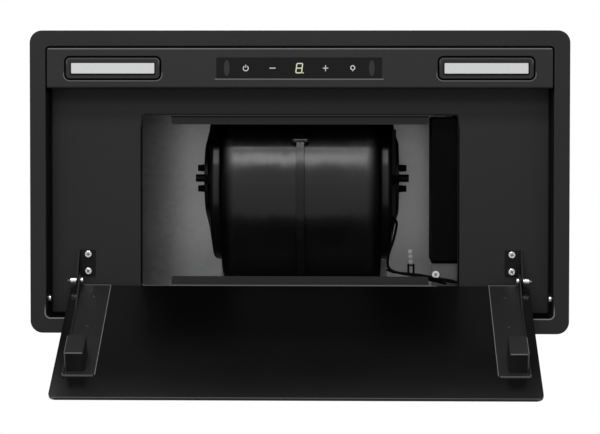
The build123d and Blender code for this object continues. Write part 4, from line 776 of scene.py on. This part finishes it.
def add_stroke(shape, first, last, width, low, high):
    """Stroke from first to last, points in plan in millimetres."""
    run = Vector(last) - Vector(first)
    middle = (Vector(last) + Vector(first)) / 2 * MM
    place = Matrix.Translation((middle.x, middle.y, (low + high) / 2))
    place = place @ Matrix.Rotation(atan2(run.y, run.x), 4, "Z")
    length = (run.length + width) * MM
    thin = min(width * MM, high - low)
    add_bar(shape, place, length, width * MM, high - low, thin * EDGE_ROUND)


def add_ring(shape, centre, radius, width, low, high, start=0.0, sweep=2 * pi):
    """Printed ring, or an arc of one, about a point in plan in millimetres."""
    made = bmesh.ops.create_grid(shape, x_segments=1, y_segments=1, size=0.5)
    face = made["verts"][0].link_faces[0]
    size = Matrix.Diagonal((width * MM, high - low, 1.0, 1.0))
    stand = Matrix.Translation((radius * MM, 0, 0)) @ Matrix.Rotation(QUARTER, 4, "X") @ size
    middle = Vector((centre[0] * MM, centre[1] * MM, (low + high) / 2))
    place = Matrix.Translation(middle) @ Matrix.Rotation(start, 4, "Z") @ stand
    bmesh.ops.transform(shape, matrix=place, verts=made["verts"])
    whole = sweep >= 2 * pi
    geom = list(face.edges) + list(face.verts) + ([] if whole else [face])
    if whole:
        bmesh.ops.delete(shape, geom=[face], context="FACES_ONLY")
    bmesh.ops.spin(shape, geom=geom, cent=middle, axis=(0, 0, 1), angle=sweep,
                   steps=RING_STEPS, use_merge=whole)


PRINT_LOW, PRINT_HIGH = -0.00056, -0.00048
KEY_Y = -110.9
POWER_X, MINUS_X, PLUS_X, LAMP_X = -51.95, -25.9, 25.53, 51.94

# Rings: middle, radius, width, start and sweep. Strokes: both ends, width, and how far
# the stroke stands proud of the others, in metres.
CROSSING = 0.00001
KEY_RINGS = (
    ((POWER_X, KEY_Y + 0.2), 2.45, 0.9, radians(-58), radians(296)),
    ((LAMP_X, KEY_Y - 0.4), 1.95, 0.95, 0.0, 2 * pi),
)
KEY_STROKES = (
    ((POWER_X, KEY_Y - 2.9), (POWER_X, KEY_Y - 0.9), 0.8, 0.0),
    ((MINUS_X - 2.4, KEY_Y), (MINUS_X + 2.4, KEY_Y), 0.95, 0.0),
    ((PLUS_X - 2.2, KEY_Y), (PLUS_X + 2.2, KEY_Y), 0.85, 0.0),
    ((PLUS_X, KEY_Y - 2.5), (PLUS_X, KEY_Y + 2.5), 0.85, CROSSING),
    ((LAMP_X, KEY_Y + 2.1), (LAMP_X, KEY_Y + 2.3), 1.1, 0.0),
)


def print_keys():
    """Touch key marks: power, less, more, lamp."""
    shape = bmesh.new()
    for centre, radius, width, start, sweep in KEY_RINGS:
        add_ring(shape, centre, radius, width, PRINT_LOW, PRINT_HIGH, start, sweep)
    for first, last, width, proud in KEY_STROKES:
        add_stroke(shape, first, last, width, PRINT_LOW - proud, PRINT_HIGH)
    add_piece("key_prints", shape, print_white, "housing")


DIGIT_W, DIGIT_H, DIGIT_LEAN, DIGIT_STROKE = 5.6, 9.0, 1.1, 1.1
DIGIT_TRIM = 0.62
POINT_AWAY, POINT_RUN = (1.35, 0.1), (0.1, 0)


def light_digit():
    """Seven-segment figure and its point, all lit."""
    shape = bmesh.new()

    def corner(side, row):
        return Vector((side * DIGIT_W / 2 - row * DIGIT_LEAN / 2, KEY_Y + row * DIGIT_H / 2))

    pairs = [((-1, row), (1, row)) for row in (-1, 0, 1)]
    pairs += [((side, row), (side, row + 1)) for side in (-1, 1) for row in (-1, 0)]
    for first, last in pairs:
        start, stop = corner(*first), corner(*last)
        trim = (stop - start).normalized() * DIGIT_STROKE * DIGIT_TRIM
        add_stroke(shape, start + trim, stop - trim, DIGIT_STROKE, PRINT_LOW, PRINT_HIGH)
    point = corner(1, 1) + Vector(POINT_AWAY)
    add_stroke(shape, point, point + Vector(POINT_RUN), DIGIT_STROKE, PRINT_LOW, PRINT_HIGH)
    add_piece("digit_segments", shape, digit_glow, "housing")


OVAL_X, OVAL_HALF_W, OVAL_HALF_L = 70.5, 2.85, 7.8
OVAL_TOP_Z, OVAL_T, OVAL_EDGE, OVAL_SIDES = -0.00018, 0.00022, 0.00012, 40


def lay_ovals():
    """Satin inlays in the two shallow ovals at the fascia's ends."""
    shape = bmesh.new()
    for side in (-1, 1):
        made = bmesh.ops.create_circle(shape, cap_ends=True, segments=OVAL_SIDES, radius=1.0)
        size = Matrix.Diagonal((OVAL_HALF_W * MM, OVAL_HALF_L * MM, 1.0, 1.0))
        place = Matrix.Translation((side * OVAL_X * MM, KEY_Y * MM, OVAL_TOP_Z)) @ size
        bmesh.ops.transform(shape, matrix=place, verts=made["verts"])
        back = made["verts"][0].link_faces[0]
        out = bmesh.ops.extrude_face_region(shape, geom=[back])["geom"]
        moved = [item for item in out if isinstance(item, bmesh.types.BMVert)]
        bmesh.ops.translate(shape, verts=moved, vec=(0, 0, -OVAL_T))
        face = next(item for item in out if isinstance(item, bmesh.types.BMFace))
        round_edges(shape, list(face.edges), OVAL_EDGE)
    add_piece("fascia_ovals", shape, oval_satin, "housing")


def loose_parts(shape):
    """Points of each part of a shape that hangs together."""
    waiting, parts = dict.fromkeys(shape.verts), []
    while waiting:
        part, edge_of = [], [waiting.popitem()[0]]
        while edge_of:
            vert = edge_of.pop()
            part.append(vert.co.copy())
            for edge in vert.link_edges:
                other = edge.other_vert(vert)
                if other in waiting:
                    del waiting[other]
                    edge_of.append(other)
        parts.append(part)
    return parts


def head_of(points):
    """Middle of a screw's outer face and its outward direction. The head is the end
    where a point lies farthest from the axis."""
    low = Vector([min(point[i] for point in points) for i in range(3)])
    high = Vector([max(point[i] for point in points) for i in range(3)])
    middle, span = (low + high) / 2, high - low
    axis = max(range(3), key=lambda i: span[i])
    across = [i for i in range(3) if i != axis]
    rim = max(points, key=lambda point: sum((point[i] - middle[i]) ** 2 for i in across))
    outward = rim[axis] > middle[axis]
    way = Vector((0, 0, 0))
    way[axis] = 1.0 if outward else -1.0
    middle[axis] = high[axis] if outward else low[axis]
    return middle, way


def screw_heads(node):
    """Head of every screw of a node, in a fixed order."""
    shape = bmesh.new()
    shape.from_mesh(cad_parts[node].data)
    bmesh.ops.remove_doubles(shape, verts=shape.verts, dist=SAME_POINT)
    heads = [head_of(points) for points in loose_parts(shape)]
    shape.free()
    return sorted(heads, key=lambda head: head[0].to_tuple(HEAD_DIGITS))


RECESS_L, RECESS_W, RECESS_T = 0.0038, 0.0009, 0.00008
RECESS_TURN = 0.7


def cut_recesses(name, node, length_share):
    """Cross recesses in the heads of a node's screws, as near-black bars of painted shade in place
    of hollows, each turned on a little.
    """
    shape = bmesh.new()
    for number, (point, way) in enumerate(screw_heads(node)):
        head = Matrix.Translation(point) @ way.to_track_quat("Z", "Y").to_matrix().to_4x4()
        for arm in (0, QUARTER):
            place = head @ Matrix.Rotation(number * RECESS_TURN + arm, 4, "Z")
            length = RECESS_L * length_share
            add_bar(shape, place, length, RECESS_W, RECESS_T, RECESS_T * EDGE_ROUND)
    add_piece(name, shape, recess_shade, "housing")


DIMPLES = ((115.2, 82.2), (115.6, 87.6), (115.8, 93.2))
DIMPLE_Z, DIMPLE_R, DIMPLE_RISE, DIMPLE_SIDES = 0.24126, 0.0024, 0.0009, 24

# Share of the radius stepped in, and share of the rise stepped down
DIMPLE_STEPS = ((0.1, 0.45), (0.3, 0.4), (0.35, 0.15))


def press_dimples():
    """Pressed dimples in the casing's top sheet, seen from below, in a lighter zinc: painted
    highlight.
    """
    shape = bmesh.new()
    for x, y in DIMPLES:
        made = bmesh.ops.create_circle(shape, cap_ends=True, segments=DIMPLE_SIDES,
                                       radius=DIMPLE_R)
        bmesh.ops.translate(shape, verts=made["verts"], vec=(x * MM, y * MM, DIMPLE_Z))
        face = made["verts"][0].link_faces[0]
        for inward, down in DIMPLE_STEPS:
            bmesh.ops.inset_region(shape, faces=[face], thickness=DIMPLE_R * inward)
            bmesh.ops.translate(shape, verts=face.verts, vec=(0, 0, -DIMPLE_RISE * down))
    add_piece("top_dimples", shape, dimple_zinc_highlight, "housing")


# Length, width, height and edge radius of a bar
SHADE_BAR_AT, SHADE_BAR = (0.0941, -0.006, 0.099), (0.09, 0.0046, 0.0016, 0.0005)


def fill_spider_shade():
    """Flat black bar between the right spider's lower arms: painted shade that closes the slits
    there.
    """
    shape = bmesh.new()
    place = Matrix.Translation(SHADE_BAR_AT) @ Matrix.Rotation(QUARTER, 4, "Z")
    add_bar(shape, place, *SHADE_BAR)
    add_piece("spider_shade_bar", shape, dark_coat, "housing")


CLIP_LEGS_AT = ((0.1074, 0.0866, 0.0362), (0.1126, 0.0866, 0.0362))
CLIP_LEG_BAR = (0.0098, 0.0021, 0.0024, 0.0006)
CLIP_BACK_AT, CLIP_BACK_BAR = (0.11, 0.0832, 0.0362), (0.006, 0.0016, 0.0024, 0.0006)


def clip_lead():
    """Saddle clip that holds the motor lead beside the blower."""
    shape = bmesh.new()
    for leg_at in CLIP_LEGS_AT:
        place = Matrix.Translation(leg_at) @ Matrix.Rotation(QUARTER, 4, "Z")
        add_bar(shape, place, *CLIP_LEG_BAR)
    add_bar(shape, Matrix.Translation(CLIP_BACK_AT), *CLIP_BACK_BAR)
    add_piece("lead_clip", shape, black_sheath, "housing")


EARTH_STRANDS = (
    ((86.5, 88.0), (93.0, 90.3), (104.0, 91.2), (119.0, 92.7), (133.0, 95.5), (152.0, 98.6)),
    ((127.0, 97.6), (135.0, 99.0), (144.0, 101.4)),
)
STRAND_Z, STRAND_W, STRAND_STEP = 0.0368, 2.2, 0.0002


def run_strands():
    """Second strand laid along the motor lead, and the end that drops behind the rail."""
    shape = bmesh.new()
    for number, points in enumerate(EARTH_STRANDS):
        low = STRAND_Z - number * STRAND_STEP
        for first, last in zip(points, points[1:]):
            add_stroke(shape, first, last, STRAND_W, low, low + STRAND_W * MM)
    add_piece("earth_strands", shape, black_sheath, "housing")


print_keys()
light_digit()
lay_ovals()
cut_recesses("bracket_recesses", "bracket_screws", 1.0)
cut_recesses("sheet_recesses", "sheet_screws", 0.95)
press_dimples()
fill_spider_shade()
clip_lead()
run_strands()


# Stage: pale floor far below, pale room, soft lamps
FLOOR_Z = -2.3
FLOOR_REACH = 24.0
FLOOR_LOW, FLOOR_HIGH = (0.78, 0.78, 0.775, 1.0), (0.82, 0.82, 0.815, 1.0)
ROOM_COLOUR = (1.0, 1.0, 1.0, 1.0)
ROOM_LEVEL = 0.6


def set_room():
    """White room; a little darker as a source of light than as it is seen or mirrored."""
    world = bpy.data.worlds.new("room")
    world.use_nodes = True
    bpy.context.scene.world = world
    nodes, links = world.node_tree.nodes, world.node_tree.links
    path = nodes.new("ShaderNodeLightPath")
    add = nodes.new("ShaderNodeMath")
    most = nodes.new("ShaderNodeMath")
    most.operation = "MAXIMUM"
    strength = nodes.new("ShaderNodeMapRange")
    strength.inputs["To Min"].default_value = ROOM_LEVEL
    strength.inputs["To Max"].default_value = 1.0
    links.new(path.outputs["Is Camera Ray"], add.inputs[0])
    links.new(path.outputs["Is Glossy Ray"], add.inputs[1])
    links.new(add.outputs[0], most.inputs[0])
    links.new(path.outputs["Is Transmission Ray"], most.inputs[1])
    links.new(most.outputs[0], strength.inputs["Value"])
    nodes["Background"].inputs["Color"].default_value = ROOM_COLOUR
    links.new(strength.outputs[0], nodes["Background"].inputs["Strength"])


def lay_floor():
    paint = Paint("floor_paint")
    mottle = paint.noise(per_metre=0.8, detail=3.0)
    material = paint.done(
        Base_Color=paint.mix(mottle, FLOOR_LOW, FLOOR_HIGH),
        Roughness=mottle.over(base=0.8, gain=0.1),
        Specular_IOR_Level=0.1,
    )
    shape = bmesh.new()
    bmesh.ops.create_grid(shape, x_segments=2, y_segments=2, size=FLOOR_REACH)
    bmesh.ops.translate(shape, verts=shape.verts, vec=(0, 0, FLOOR_Z))
    floor = link("floor", shape, material)


def add_lamp(name, at, towards, size, power):
    """Soft box of size at a place, aimed at another."""
    data = bpy.data.lights.new(name, "AREA")
    data.shape = "RECTANGLE"
    data.size, data.size_y = size
    data.energy = power
    lamp = bpy.data.objects.new(name, data)
    bpy.context.scene.collection.objects.link(lamp)
    lamp.location = at
    aim = Vector(towards) - Vector(at)
    lamp.rotation_euler = aim.to_track_quat("-Z", "Y").to_euler()


set_room()
lay_floor()
add_lamp("lamp_front", at=(-0.2, -1.74, -1.38), towards=(0, 0, 0), size=(1.4, 0.35), power=28)
add_lamp("lamp_below", at=(-0.2, -1.1, -1.91), towards=(0, 0, 0), size=(1.4, 0.5), power=14)
add_lamp("lamp_above", at=(0.6, -1.2, 2.6), towards=(0, 0, 0.1), size=(2.4, 2.4), power=60)
